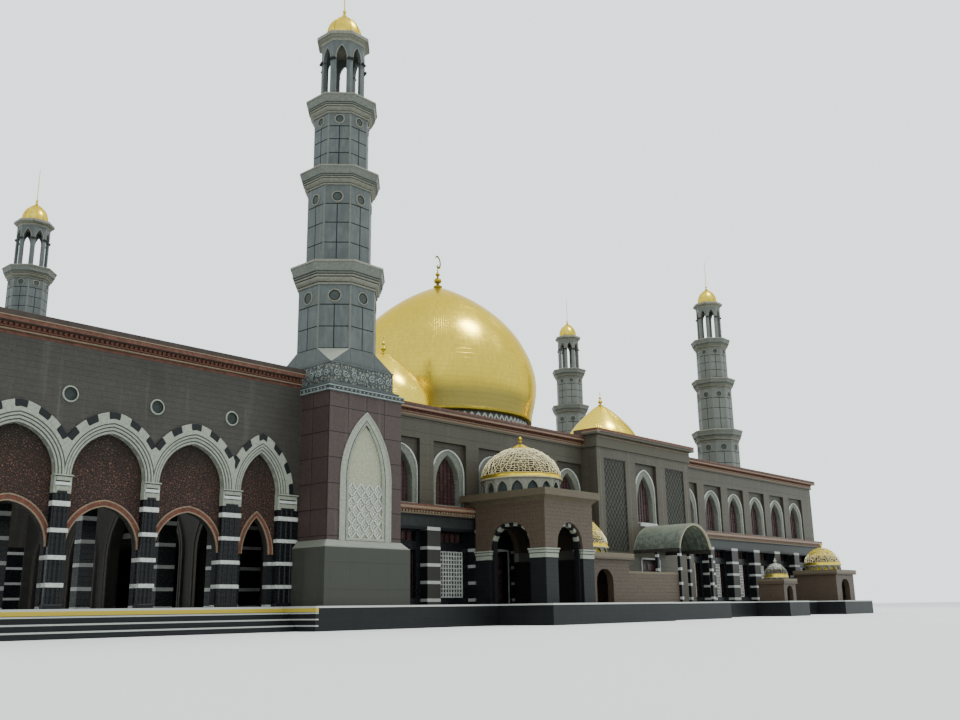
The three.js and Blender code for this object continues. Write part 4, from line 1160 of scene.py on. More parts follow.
def diamond_relief(bm, width, height, columns, rows, finish):
    """Raised diamonds in rows, with four petals in each and in the gaps between them."""
    gem = bmesh.new()
    length, slope = math.hypot(width, height) / 2, math.atan2(height, width)
    for sx in (-1, 1):
        for sz in (-1, 1):
            bar = bmesh.new()
            block(bar, -length / 2, length / 2, -0.07, 0, -0.034, 0.034, 0)
            shift = Matrix.Translation((sx * width / 4, 0, sz * height / 4))
            lay(gem, bar, shift @ Matrix.Rotation(sx * sz * slope, 4, "Y"))
    petals = bmesh.new()
    for k in range(4):
        petal = bmesh.new()
        bmesh.ops.create_icosphere(
            petal, subdivisions=1, radius=0.09,
            matrix=Matrix.Translation((0, 0, width * 0.2)) @ Matrix.Diagonal((0.6, 0.6, 1.2, 1)),
        )
        lay(petals, petal, Matrix.Rotation(k * math.pi / 2, 4, "Y"))
    for face in gem.faces[:] + petals.faces[:]:
        face.material_index = finish
    for row in range(rows):
        for column in range(columns):
            x = width * (column + 0.5 - columns / 2)
            z = height * (row + 0.5)
            stamp(bm, gem, Matrix.Translation((x, 0, z)))
            stamp(bm, petals, Matrix.Translation((x, 0, z)))
            if column and row:
                stamp(bm, petals, Matrix.Translation((x - width / 2, 0, z - height / 2)))
    gem.free()
    petals.free()


# Wings


# width over the opening, place behind the wing's face and finish of each line of the rings; the strips in finish 2 are
# painted shade in the grooves between the rolls
ARCH_STEPS = (
    (-0.01, 0.296, 0), (-0.01, 0.1, 0), (0.0, 0.07, 2), (0.02, -0.005, 0), (0.11, -0.02, 2), (0.16, -0.02, 0),
    (0.16, -0.06, 0), (0.26, -0.07, 2), (0.31, -0.06, 0), (0.31, -0.1, 0), (0.4, -0.105, 2), (0.45, -0.1, 0),
    (0.46, -0.125, 0), (0.68, -0.125, 0), (0.68, -0.004, 0), (0.08, -0.004, 0), (0.08, 0.296, 0),
)


def arcade_arch(half, left, right):
    """Stepped pale mouldings and black and pale wedge stones of one arch, cut at the lines it shares."""
    bm = bmesh.new()
    rings = [(half + out, 9.65 + 1.16 * out, WING_FACE + y) for out, y, _ in ARCH_STEPS]
    # strips in finish 2 are painted shade in the grooves
    arch_moulding(bm, rings, SPRINGING, 7.4, 14, 0, looks=[look for _, _, look in ARCH_STEPS])
    count = 15 if half > 1.5 else 13
    plain = [2 if abs(limit) < half + 0.7 else 0 for limit in (left, right)]
    voussoirs(bm, (half + 0.62, 10.37), (half + 0.95, 10.75), SPRINGING, WING_FACE - 0.11, WING_FACE - 0.004, count,
              (1, 0), 0.02, plain=plain)
    for x, out in ((left, -1), (right, 1)):
        slice_at(bm, (x, 0, 0), (out, 0, 0))
    return bm


def capital(bm, x0, x1):
    """A pale head of a pier with a thin slab, a white band, dark grooves of painted shade and a dark step at its foot.
    """
    front = WING_FACE
    block(bm, x0 - 0.03, x1 + 0.03, front - 0.05, -0.004, 6.57, 7.44, 0)
    # rows in finish 3 are painted shade in the grooves
    for low, high, side, out, finish in (
        (6.57, 6.67, -0.17, 0.08, 1), (6.7, 6.9, -0.08, 0.07, 0), (6.9, 6.94, -0.06, 0.055, 3),
        (6.94, 7.09, -0.02, 0.1, 4), (7.09, 7.16, -0.06, 0.055, 1), (7.16, 7.34, -0.08, 0.08, 0),
        (7.34, 7.385, -0.02, 0.09, 3), (7.385, 7.45, 0.07, 0.13, 0),
    ):
        block(bm, x0 - side, x1 + side, front - out, front + 0.02, low, high, finish)


def pier(bm, x0, x1):
    """Upright reeds of a black pier and the white bands that tie them."""
    for k in range(3):
        x = x0 + (x1 - x0) * (0.22 + 0.28 * k)
        turned(bm, [(0, FLOOR), (0.1, FLOOR), (0.1, 6.58), (0, 6.58)], 10, x, WING_FACE + 0.03, 2)
    for low, high in PIER_BANDS[:-1]:
        block(bm, x0 - 0.03, x1 + 0.03, WING_FACE - 0.1, -0.004, low, high, 4, 0.01)
    block(bm, x0 - 0.04, x1 + 0.04, WING_FACE - 0.13, -0.004, 1.306, 1.5, 1, 0.02)


def brick_rim(bm, x, half):
    """A ring of bricks on edge between two thin pale lines round a lower opening."""
    foot, apex = 4.1, 6.13
    place = Matrix.Translation((x, 0, 0))
    voussoirs(bm, (half + 0.03, apex + 0.04), (half + 0.22, apex + 0.25), foot, -0.07, 0.003, 36, (0, 1), 0.01, place)
    for inner, outer in ((-0.03, 0.03), (0.22, 0.28)):
        rings = [(half + inner, apex + inner * 1.1, 0.003), (half + inner, apex + inner * 1.1, -0.09),
                 (half + outer, apex + outer * 1.1, -0.09), (half + outer, apex + outer * 1.1, 0.003)]
        arch_moulding(bm, rings, foot, None, 18, 2, place)


class MOSQUE_OT_arcade(bpy.types.Operator):
    """Arch rings, capitals, pier shafts, round windows and brick rims of both wings"""

    bl_idname = "mosque.arcade"
    bl_label = "Arcade"

    def execute(self, context):
        edges = [WING_START] + [v for x, half in ARCHES for v in (x - half, x + half)] + [-3.0]
        piers = [(edges[i], edges[i + 1]) for i in range(0, len(edges), 2)]
        for side, flip in SIDES:
            rings, caps, rims = bmesh.new(), bmesh.new(), bmesh.new()
            for (x, half), left, right in zip(ARCHES, ARCH_LIMITS, ARCH_LIMITS[1:]):
                lay(rings, arcade_arch(half, left - x, right - x), flip @ Matrix.Translation((x, 0, 0)))
                rim = bmesh.new()
                brick_rim(rim, x, 1.85 if half > 1.5 else 0.9)
                lay(rims, rim, flip)
            for x0, x1 in piers:
                cap = bmesh.new()
                capital(cap, x0, x1)
                pier(cap, x0, x1)
                lay(caps, cap, flip)
            for x in ROUND_WINDOWS:
                lay(caps, self.round_window(Vector((x, WING_FACE, 11.32))), flip)
            publish(f"wing_arch_rings_{side}", rings, finishes("pale", "black", "shadow"),
                    [f"wing_archivolts_{side}"])
            publish(f"wing_capitals_{side}", caps, finishes("pale", "black", "wing", "shadow", "white", "grille"))
            publish(f"wing_brick_rims_{side}", rims, finishes("brick", "terracotta", "tan"))
        return {"FINISHED"}

    def round_window(self, centre):
        """A white ring with a dark outline round a grey lattice."""
        bm = bmesh.new()
        ring(bm, 0.34, 0.07, 0.06, centre, 0, 0)
        ring(bm, 0.41, 0.03, 0.02, centre, 0, 3)
        deep = centre + Vector((0, 0.12, 0))
        disc(bm, 0.35, deep, 0, 5)
        for k in range(5):
            for turn in (0, math.pi / 2):
                bar = bmesh.new()
                reach = 0.3 - 0.04 * abs(k - 2)
                block(bar, -reach, reach, -0.012, 0.012, 0, 0.03, 3)
                place = facing_matrix(deep, 0) @ Matrix.Rotation(turn + math.pi / 4, 4, "Z")
                lay(bm, bar, place @ Matrix.Translation((0, (k - 2) * 0.11, 0)))
        return bm


def row_of_blocks(bm, x0, x1, y0, y1, z0, z1, pitch, share, finish):
    """A row of like small blocks along X."""
    count = max(int((x1 - x0) / pitch), 1)
    step = (x1 - x0) / count
    for k in range(count):
        x = x0 + step * (k + 0.5)
        block(bm, x - step * share / 2, x + step * share / 2, y0, y1, z0, z1, finish)


def row_along_y(bm, y0, y1, x0, x1, z0, z1, pitch, share, finish):
    row = bmesh.new()
    row_of_blocks(row, y0, y1, -x1, -x0, z0, z1, pitch, share, finish)
    lay(bm, row, Matrix.Rotation(math.pi / 2, 4, "Z"))


class MOSQUE_OT_cornices(bpy.types.Operator):
    """Dentils and thin mouldings under the cornices of the wings and the hall, with lines of painted shadow under the
    hall's
    """

    bl_idname = "mosque.cornices"
    bl_label = "Cornices"

    def execute(self, context):
        pitch = context.scene.mosque_sizes.dentil_pitch
        for side, flip in SIDES:
            for name, source in (("wing", self.wing_rows(pitch)), ("hall", self.hall_rows(pitch))):
                done = bmesh.new()
                lay(done, source, flip)
                publish(f"{name}_dentils_{side}", done, finishes("terracotta", "tan", "shadow"))
        return {"FINISHED"}

    def wing_rows(self, pitch):
        bm = bmesh.new()
        end, out = -TOWER_HALF - 0.13, WING_FACE - 0.12
        row_of_blocks(bm, WING_START - 0.1, end, out - 0.12, out, 14.06, 14.2, pitch, 0.55, 0)
        row_along_y(bm, WING_FACE, WING_BACK, WING_START - 0.24, WING_START - 0.12, 14.06, 14.2, pitch, 0.55, 0)
        for low, high, proud, finish in ((13.87, 13.93, 0.06, 1), (13.98, 14.04, 0.1, 0), (14.44, 14.49, 0.36, 1)):
            block(bm, WING_START - 0.12 - proud, end, out - proud, out + 0.02, low, high, finish)
            block(bm, WING_START - 0.12 - proud, WING_START - 0.1, out - proud, WING_BACK + 0.1, low, high, finish)
        return bm

    def hall_rows(self, pitch):
        bm = bmesh.new()
        left, right = BAY_X - BAY_HALF, BAY_X + BAY_HALF
        start = TOWER_HALF + 0.13
        for x0, x1 in ((start, left - 0.15), (right + 0.15, HALL_END)):
            row_of_blocks(bm, x0, x1, -0.22, -0.12, 13.72, 13.82, pitch, 0.55, 0)
            block(bm, x0, x1, -0.17, -0.1, 13.6, 13.66, 1)
            # the thin line in finish 2 is painted shadow under the cornice's overhang
            block(bm, x0, x1, -0.47, -0.4, 14.02, 14.07, 2)
            row_of_blocks(bm, max(x0, 3.4), min(x1, 67.7), -1.0, -0.88, 7.04, 7.14, pitch, 0.5, 1)
        # the thin line in finish 2 over the bay is painted shadow under its cornice
        bay = -BAY_OUT - 0.12
        block(bm, left, right, bay - 0.05, bay + 0.02, 14.08, 14.14, 1)
        block(bm, left, right, bay - 0.36, bay - 0.3, 14.42, 14.47, 2)
        return bm


# Hall


def glazing(bm, arch, foot, y, columns, rows, pane, bar):
    """A pane with fine upright and level bars inside a pointed opening."""
    half, springing, apex = arch
    arched_sheet(bm, arch, y, foot, 0.04, 8, pane)
    for k in range(1, columns):
        x = -half + 2 * half * k / columns
        top = springing
        while arch_width(arch, top) > abs(x) and top < apex:
            top += 0.05
        block(bm, x - 0.025, x + 0.025, y - 0.05, y, foot, top, bar)
    for k in range(1, rows):
        z = foot + (apex - foot) * k / rows
        width = arch_width(arch, z)
        if width > 0.1:
            block(bm, -width, width, y - 0.04, y, z - 0.02, z + 0.02, bar)


def window_frame(bm, face, outer, inner, foot, back):
    """A thin raised line round a flat pale frame, and its deep reveal. outer and inner are pointed arches."""
    steps = ((1, 0.02, 3), (1, -0.09, 3), (0.86, -0.09, 3), (0.84, -0.03, 0), (0.05, -0.02, 0), (0, 0, 0),
             (-0.04, 0.03, 0), (-0.04, back, 0), (0.1, back, 0), (0.1, 0.02, 0))
    rings = []
    for a, y, _ in steps:
        half, springing, apex = (i + (o - i) * a for o, i in zip(outer, inner))
        rings.append((half, apex, face + y, springing))
    arch_moulding(bm, rings, 0, foot, 10, looks=[look for _, _, look in steps])


def upper_window():
    bm = bmesh.new()
    face = 0.25
    window_frame(bm, face, (1.57, 9.9, 11.57), (1.15, 9.2, 11.2), 7.72, 0.54)
    glazing(bm, (1.1, 9.2, 11.15), 7.76, face + 0.42, 6, 13, 1, 2)
    block(bm, -1.5, 1.5, face - 0.2, face + 0.4, 7.62, 7.76, 0, 0.02)
    return bm


def bay_window():
    bm = bmesh.new()
    face = -BAY_OUT + 0.25
    window_frame(bm, face, (1.52, 10.2, 12.1), (1.15, 9.2, 11.55), 7.64, 0.5)
    glazing(bm, (1.1, 9.2, 11.5), 7.7, face + 0.4, 6, 13, 1, 2)
    block(bm, -1.25, 1.25, face - 0.36, face + 0.3, 7.34, 7.64, 3, 0.03)
    return bm


def lower_window(reach):
    """Small dark lights above a tall window, with a white lattice screen as far as reach."""
    bm = bmesh.new()
    for low, high in ((1.76, 4.74), (5.31, 5.94)):
        block(bm, -1.24, 1.24, 0.4, 0.44, low, high, 1)
    for k in range(1, 5):
        x = -1.24 + 2.48 * k / 5
        block(bm, x - 0.03, x + 0.03, 0.3, 0.4, 5.31, 5.94, 2)
    for z in (5.33, 5.92):
        block(bm, -1.24, 1.24, 0.3, 0.4, z - 0.03, z + 0.03, 2)
    for k in range(4):
        x = -1.2 + 0.8 * k
        block(bm, x - 0.035, x + 0.035, 0.25, 0.32, 1.77, 4.73, 2)
    columns = int((reach + 1.2) / 0.26)
    for k in range(columns + 1):
        x = -1.2 + 0.26 * k
        block(bm, x - 0.035, x + 0.035, 0.05, 0.12, 1.77, 4.73, 0)
    for k in range(12 if columns else 0):
        z = 1.8 + 2.9 * k / 11
        block(bm, -1.23, -1.17 + 0.26 * columns, 0.055, 0.115, z - 0.035, z + 0.035, 0)
    return bm


def lattice_panel(pitch):
    """Diamond lattice of thin crossing bars with a petal at each crossing, over a dark ground."""
    bm = bmesh.new()
    half, low, high = 1.46, 5.24, 12.46
    face = -BAY_OUT
    block(bm, -half, half, face + 0.1, face + 0.145, low, high, 1)
    work = bmesh.new()
    slope = math.radians(52)
    for turn in (slope, -slope):
        reach = 10.0
        for k in range(-24, 25):
            bar = bmesh.new()
            block(bar, -reach, reach, face + 0.06, face + 0.1, -0.018, 0.018, 0)
            shift = Matrix.Translation((k * pitch, 0, (low + high) / 2))
            lay(work, bar, shift @ Matrix.Rotation(turn, 4, "Y"))
    for co, no in (((-half, 0, 0), (-1, 0, 0)), ((half, 0, 0), (1, 0, 0)), ((0, 0, low), (0, 0, -1)),
                   ((0, 0, high), (0, 0, 1))):
        slice_at(work, co, no)
    fill_ends(work)
    lay(bm, work)
    rise = pitch * math.tan(slope)
    leaf = bmesh.new()
    bmesh.ops.create_icosphere(leaf, subdivisions=1, radius=0.055, matrix=Matrix.Diagonal((0.8, 0.5, 1.6, 1)))
    for row in range(-14, 15):
        z = (low + high) / 2 + row * rise / 2
        for k in range(-4, 5):
            x = (k + (row % 2) * 0.5) * pitch
            if low + 0.15 < z < high - 0.15 and abs(x) < half - 0.1:
                stamp(bm, leaf, Matrix.Translation((x, face + 0.07, z)))
    leaf.free()
    for x0, x1, z0, z1 in ((-1.49, -1.43, 5.21, 12.49), (1.43, 1.49, 5.21, 12.49), (-1.49, 1.49, 5.21, 5.27),
                           (-1.49, 1.49, 12.43, 12.49)):
        block(bm, x0, x1, face + 0.03, face + 0.12, z0, z1, 2)
    return bm


def door(half, top):
    """A pair of dark panelled doors in a pale surround."""
    bm = bmesh.new()
    for sx in (-1, 1):
        x0, x1 = sorted((sx * 0.02, sx * (half - 0.02)))
        block(bm, x0, x1, 0.45, 0.55, FLOOR, top - 0.02, 2)
        for low, high in ((1.6, 2.6), (2.8, 3.7), (3.9, top - 0.3)):
            block(bm, x0 + 0.15, x1 - 0.15, 0.41, 0.46, low, high, 1, 0.02)
        block(bm, *sorted((sx * half, sx * (half + 0.14))), -0.05, 0.3, FLOOR, top + 0.14, 0, 0.02)
    block(bm, -half - 0.14, half + 0.14, -0.05, 0.3, top, top + 0.14, 0, 0.02)
    return bm


class MOSQUE_OT_windows(bpy.types.Operator):
    """Framed windows, screens, doors and lattice panels of the hall"""

    bl_idname = "mosque.windows"
    bl_label = "Windows"

    def execute(self, context):
        pitch = context.scene.mosque_sizes.lattice_pitch
        upper, lower, middle, panel = upper_window(), lower_window(1.2), bay_window(), lattice_panel(pitch)
        plain, part, doors, bay_doors = lower_window(-1.3), lower_window(0.4), door(1.3, 4.9), door(1.3, 4.7)
        for side, flip in SIDES:
            tops, lows, panels = bmesh.new(), bmesh.new(), bmesh.new()
            for x in WINDOWS:
                stamp(tops, upper, flip @ Matrix.Translation((x, 0, 0)))
                if side == "near" and abs(x - DOOR_X) < 0.1:
                    stamp(lows, doors, Matrix.Translation((x, 0, 0)))
                else:
                    form = plain if x < 8 else lower if x < BAY_X else part
                    stamp(lows, form, flip @ Matrix.Translation((x, 0, 0)))
            stamp(tops, middle, flip @ Matrix.Translation((BAY_X, 0, 0)))
            if side == "near":
                stamp(lows, bay_doors, Matrix.Translation((BAY_X, -BAY_OUT, 0)))
            for x in (BAY_X - LATTICE_SHIFT, BAY_X + LATTICE_SHIFT):
                stamp(panels, panel, flip @ Matrix.Translation((x, 0, 0)))
            publish(f"upper_windows_{side}", tops, finishes("reveal", "glass", "bronze", "white"))
            publish(f"lower_windows_{side}", lows, finishes("white", "glass", "bronze"))
            publish(f"bay_lattice_{side}", panels, finishes("lattice", "panel", "dark"))
        self.end_windows(upper)
        self.court_portals()
        for form in (upper, lower, middle, panel, plain, part, doors, bay_doors):
            form.free()
        return {"FINISHED"}

    def end_windows(self, upper):
        """The same windows in the end wall, which looks along X."""
        ends = bmesh.new()
        turn = Matrix.Rotation(math.pi / 2, 4, "Z")
        for x, rows in END_WINDOWS:
            for y in rows:
                stamp(ends, upper, Matrix.Translation((x, y, 0)) @ turn)
        publish("end_windows", ends, finishes("reveal", "glass", "bronze", "white"))

    def court_portals(self):
        """Rings round the portals of the court wall in the dark finish, as painted shade on the court seen through the
        arcade.
        """
        bm = bmesh.new()
        for y in PORTALS:
            apex = 8.6 if y == AXIS_Y else 7.8
            rings = [(PORTAL_HALF, apex, 0.1), (PORTAL_HALF, apex, -0.12), (2.1, apex + 0.3, -0.16),
                     (2.14, apex + 0.35, -0.1), (2.2, apex + 0.43, -0.1), (2.24, apex + 0.48, -0.18),
                     (2.4, apex + 0.7, -0.18), (2.42, apex + 0.72, 0.02)]
            turn = Matrix.Translation((-0.8, y, 0)) @ Matrix.Rotation(-math.pi / 2, 4, "Z")
            arch_moulding(bm, rings, PORTAL_SPRINGING, FLOOR, 12, 0, turn)
        # painted shade: the rings take the dark finish
        publish("court_portal_rings", bm, finishes("dark"))


# Domes


def finial(bm, x, y, foot, size, finish):
    """A gilded stack of discs, bulb and vase."""
    parts = ((0.42, 0.0), (0.46, 0.1), (0.46, 0.2), (0.3, 0.28), (0.16, 0.4), (0.16, 0.5), (0.34, 0.62), (0.4, 0.8),
             (0.32, 1.0), (0.14, 1.15), (0.1, 1.3), (0.22, 1.42), (0.24, 1.55), (0.12, 1.72), (0.06, 1.9), (0.05, 2.3),
             (0.12, 2.4), (0.05, 2.5), (0.02, 2.7), (0, 2.7))
    profile = [(0, foot)] + smooth_profile([(r * size, foot + h * size) for r, h in parts], 2)
    turned(bm, profile, 20, x, y, finish)


class MOSQUE_OT_main_dome(bpy.types.Operator):
    """Gilded main dome with its finial and crescent, over a drum with a row of pale crests"""

    bl_idname = "mosque.main_dome"
    bl_label = "Main dome"

    def execute(self, context):
        bm = bmesh.new()
        outer = smooth_profile(MAIN_DOME, 4)
        inner = [(0, 33.4), (4.0, 31.3), (8.0, 27.4), (9.5, 22.9), (8.9, 19.24)]
        turned(bm, closed(outer + inner), 128, CENTRE_X, AXIS_Y, 0)
        rim = closed([(9.0, 19.0), (9.42, 19.0), (9.5, 19.1), (9.5, 19.3), (9.42, 19.4), (9.3, 19.42), (9.0, 19.3)])
        turned(bm, rim, 96, CENTRE_X, AXIS_Y, 1)
        finial(bm, CENTRE_X, AXIS_Y, 33.8, 1.0, 1)
        self.crescent(bm)
        publish("main_dome_gilded", bm, finishes("gold_main", "old_gilt"), ["main_dome"])
        self.drum(context.scene.mosque_sizes.crests)
        return {"FINISHED"}

    def crescent(self, bm):
        """A crescent with round section that swells to its middle."""
        work = bmesh.new()
        radius, tube, span = 0.62, 0.11, math.radians(290)
        start = Matrix.Translation((radius, 0, 0)) @ Matrix.Rotation(math.pi / 2, 4, "X")
        bmesh.ops.create_circle(work, cap_ends=False, segments=10, radius=tube)
        bmesh.ops.transform(work, verts=work.verts, matrix=start)
        bmesh.ops.spin(work, geom=work.verts[:] + work.edges[:], cent=(0, 0, 0), axis=(0, 1, 0), angle=span, steps=28)
        for v in work.verts:
            angle = math.atan2(v.co.z, v.co.x)
            middle = Vector((radius * math.cos(angle), 0, radius * math.sin(angle)))
            turn = (-angle) % (2 * math.pi)
            share = math.sin(min(turn / span, 1) * math.pi)
            v.co = middle + (v.co - middle) * (0.2 + 1.3 * share)
        fill_ends(work)
        turn = Matrix.Rotation(math.radians(18), 4, "Z") @ Matrix.Rotation(math.radians(-160), 4, "Y")
        settle(bm, work, 1, Matrix.Translation((CENTRE_X, AXIS_Y, 36.7)) @ turn)

    def drum(self, count):
        bm = bmesh.new()
        wall = closed([(8.5, ROOF), (9.3, ROOF), (9.3, 14.3), (9.2, 14.4), (9.05, 14.5), (9.05, 17.6),
                       (9.14, 17.64), (9.14, 17.76), (9.05, 17.8), (9.05, 18.95), (9.22, 19.02), (9.3, 19.19),
                       (8.5, 19.19)])
        turned(bm, wall, 96, CENTRE_X, AXIS_Y, 0)
        width = math.pi * 9.08 / count
        crest = bmesh.new()
        arch_moulding(crest, [(width * 0.98, 18.94, 0), (width * 0.98, 18.94, -0.07), (width * 0.6, 18.7, -0.07),
                              (width * 0.6, 18.7, 0)], 18.12, 17.8, 4, 1)
        disc(crest, 0.07, Vector((0, 0, 18.22)), 0, 1, 0.04, 8)
        middle, out = Matrix.Translation((CENTRE_X, AXIS_Y, 0)), Matrix.Translation((0, -9.045, 0))
        lay(bm, crest, *(middle @ (turn @ out) for turn in around(count)))
        publish("main_drum_crested", bm, finishes("drum", "white"), ["main_drum"])


class MOSQUE_OT_corner_domes(bpy.types.Operator):
    """Four small gilded domes on their drums"""

    bl_idname = "mosque.corner_domes"
    bl_label = "Corner domes"

    def execute(self, context):
        curve = smooth_profile([(3.78, 16.95), (3.93, 17.2), (3.9, 17.8), (3.72, 18.5), (3.2, 19.4), (2.38, 20.35),
                                (1.4, 21.3), (0.6, 21.92), (0.22, 22.12)], 4)
        for i, (x, y) in enumerate(CORNER_DOMES):
            bm = bmesh.new()
            turned(bm, closed(curve + [(0, 22.0), (0, 21.6), (2.6, 19.4), (3.4, 17.2), (3.4, 16.95)]), 72, x, y, 0)
            drum = closed([(3.35, ROOF), (3.75, ROOF), (3.75, 16.5), (3.85, 16.6), (3.85, 16.95), (3.35, 16.95)])
            turned(bm, drum, 48, x, y, 1)
            finial(bm, x, y, 22.05, 0.62, 2)
            publish(f"corner_dome_{i + 1}_gilded", bm, finishes(f"gold_corner_{i + 1}", "dark", "gilt"),
                    [f"corner_dome_{i + 1}"])
        return {"FINISHED"}


def openwork_dome(bm, x, y, radius, rim, apex, looks, seed):
    """A brass net of curling cells over a brown shell, with a gilt rim, a conical gilt cap and a ball."""
    net, ground, gilt, edge = looks
    height = apex - rim
    rise = height * 0.86
    power = 1.12 if radius > 2 else 1.0

    def at(turn, r):
        return r * radius * math.cos(turn) ** power, rim + rise * math.sin(turn)

    angles = [math.pi / 2 * k / 12 for k in range(13)]
    shell = [at(a, 0.97) for a in angles[:-1]] + [(0, rim + rise - 0.06)]
    turned(bm, [(0, rim)] + shell, 48, x, y, ground)
    work = bmesh.new()
    rows, columns = max(int(radius * 6), 8), max(int(radius * 24), 32)
    curve = [at(math.radians(5 + 65 * k / rows), 1.0) for k in range(rows + 1)]
    verts = [work.verts.new((r, 0, z)) for r, z in curve]
    edges = [work.edges.new(pair) for pair in zip(verts, verts[1:])]
    bmesh.ops.spin(work, geom=verts + edges, cent=(0, 0, 0), axis=(0, 0, 1), angle=2 * math.pi, steps=columns,
                   use_merge=True)
    bmesh.ops.remove_doubles(work, verts=work.verts, dist=1e-4)
    bmesh.ops.recalc_face_normals(work, faces=work.faces)
    rng = random.Random(seed)
    for v in work.verts:
        r = math.hypot(v.co.x, v.co.y)
        turn = math.atan2(v.co.y, v.co.x) + rng.uniform(-0.38, 0.38) * 2 * math.pi / columns
        v.co = Vector((r * math.cos(turn), r * math.sin(turn), v.co.z + rng.uniform(-0.3, 0.3) * rise / rows))
    bmesh.ops.triangulate(work, faces=rng.sample(work.faces[:], len(work.faces) // 2))
    bmesh.ops.wireframe(work, faces=work.faces[:], thickness=0.042, offset=0.2, use_replace=True)
    for face in work.faces:
        face.material_index = net
    lay(bm, work, Matrix.Translation((x, y, 0)))
    top = apex - rim - rise
    collar = at(math.radians(69), 1.02)
    cap = ((1.0, -0.2), (1.1, -0.16), (1.1, 0.0), (0.95, 0.1), (0.6, 0.45), (0.3, 0.8), (0.14, 1.0))
    turned(bm, [(0, collar[1] - 0.1)] + [(collar[0] * a, collar[1] + (top + 0.04) * b) for a, b in cap]
           + [(0, collar[1] + top + 0.04)], 24, x, y, gilt)
    turned(bm, closed([(radius * 0.95, rim - 0.16), (radius * 1.045, rim - 0.15), (radius * 1.05, rim - 0.09),
                       (radius * 0.95, rim - 0.09)]), 48, x, y, edge)
    turned(bm, closed([(radius * 0.95, rim - 0.09), (radius * 1.04, rim - 0.09), (radius * 1.025, rim + 0.02),
                       (radius * 0.995, rim + 0.12), (radius * 0.98, rim + 0.2), (radius * 0.95, rim + 0.2)]),
           48, x, y, gilt)
    size = radius / 2.78
    profile = ((0.12, 0.0), (0.16, 0.06), (0.07, 0.12), (0.05, 0.16), (0.14, 0.24), (0.14, 0.32), (0.05, 0.4),
               (0, 0.45))
    turned(bm, [(0, apex - 0.02)] + [(r * size, apex + h * size) for r, h in profile], 14, x, y, gilt)


def arcaded_drum(bm, x, y, radius, foot, top, count, wall, infill):
    """A drum with a row of small pointed arches."""
    turned(bm, closed([(radius * 0.84, foot), (radius * 0.9, foot), (radius * 0.9, top), (radius * 0.84, top)]),
           48, x, y, infill)
    width = math.pi * radius * 0.965 / count
    rise = top - foot
    arch = (width * 0.74, foot + rise * 0.15, foot + rise * 0.78)
    panel = bmesh.new()
    arched_panel(panel, width * 1.01, top, arch, 0, 0.14, foot, 5, wall)
    crown = arch[2] + rise * 0.12
    ring_at = [(width * 0.74, arch[2], 0.1), (width * 0.74, arch[2], -0.03), (width * 0.92, crown, -0.03),
               (width * 0.92, crown, 0.1)]
    arch_moulding(panel, ring_at, arch[1], foot, 5, wall)
    middle, out = Matrix.Translation((x, y, 0)), Matrix.Translation((0, -radius * 0.965, 0))
    lay(bm, panel, *(middle @ (turn @ out) for turn in around(count, 0.5)))


class MOSQUE_OT_porch(bpy.types.Operator):
    """Arches, capitals and openwork dome of the porch"""

    bl_idname = "mosque.porch"
    bl_label = "Porch"

    def execute(self, context):
        bm = bmesh.new()
        arcaded_drum(bm, *PORCH_DOME, 2.72, 8.454, 9.42, 16, 1, 2)
        openwork_dome(bm, *PORCH_DOME, 2.72, 9.55, 12.1, (0, 3, 4, 5), 7)
        publish("porch_dome_openwork", bm, finishes("brass", "light", "grille", "brown", "gilt", "cream"),
                ["porch_dome"])
        trim = bmesh.new()
        self.arch_ring(trim, 1.35, 4.95, 6.42, Matrix.Translation((14.0, PORCH_FRONT, 0)))
        self.arch_ring(trim, 1.7, 5.0, 6.44, Matrix.Translation((PORCH_X0, -4.0, 0)) @ Matrix.Rotation(
            -math.pi / 2, 4, "Z"))
        self.capital(trim, PORCH_X0, 12.65, PORCH_FRONT, -5.7, 0.6)
        self.capital(trim, 15.35, PORCH_X1, PORCH_FRONT, -6.36)
        self.capital(trim, PORCH_X0, 11.99, -2.3, -1.12)
        self.fascia(trim)
        publish("porch_trim", trim, finishes("coping", "shadow", "pale", "black"))
        return {"FINISHED"}

    def arch_ring(self, bm, half, springing, apex, matrix):
        """A ring of black and pale blocks set back in a porch arch, on short black legs."""
        voussoirs(bm, (half - 0.2, apex - 0.24), (half + 0.02, apex + 0.02), springing, 0.22, 0.56, 13, (3, 2), 0.01,
                  matrix)
        legs = bmesh.new()
        for sx in (-1, 1):
            x0, x1 = sorted((sx * (half - 0.2), sx * (half + 0.02)))
            block(legs, x0, x1, 0.22, 0.56, FLOOR, springing, 3)
        lay(bm, legs, matrix)

    def capital(self, bm, x0, x1, y0, y1, wall=None):
        """A stepped grey band with dark grooves of painted shade, round part of a pier, or round a corner of that wall
        thickness.
        """
        # bands in finish 1 are painted shade in the grooves between the grey steps
        for low, high, out, finish in ((4.12, 4.38, 0.03, 2), (4.38, 4.43, 0.01, 1), (4.43, 4.58, 0.07, 2),
                                       (4.58, 4.62, 0.04, 1), (4.62, 4.71, 0.12, 2)):
            inner = [(x1 + out, y1 + out)]
            if wall:
                x, y = x0 + wall + out, y0 + wall + out
                inner = [(x1 + out, y), (x, y), (x, y1 + out)]
            work = bmesh.new()
            outline = [(x0 - out, y0 - out), (x1 + out, y0 - out), *inner, (x0 - out, y1 + out)]
            draw_out(work, [(x, y, low) for x, y in outline], (0, 0, high - low))
            settle(bm, work, finish)

    def fascia(self, bm):
        """A flared skirt under the cornice, mitred at its corners."""
        profile = ((0.99, 7.7), (1.01, 7.7), (1.02, 7.76), (1.045, 7.8), (1.07, 7.88), (1.13, 7.98), (1.135, 8.02),
                   (0.99, 8.02))
        squared(bm, profile, 0, Matrix.Translation((13.975, -4.005, 0)) @ Matrix.Diagonal((2.575, 2.945, 1, 1)))


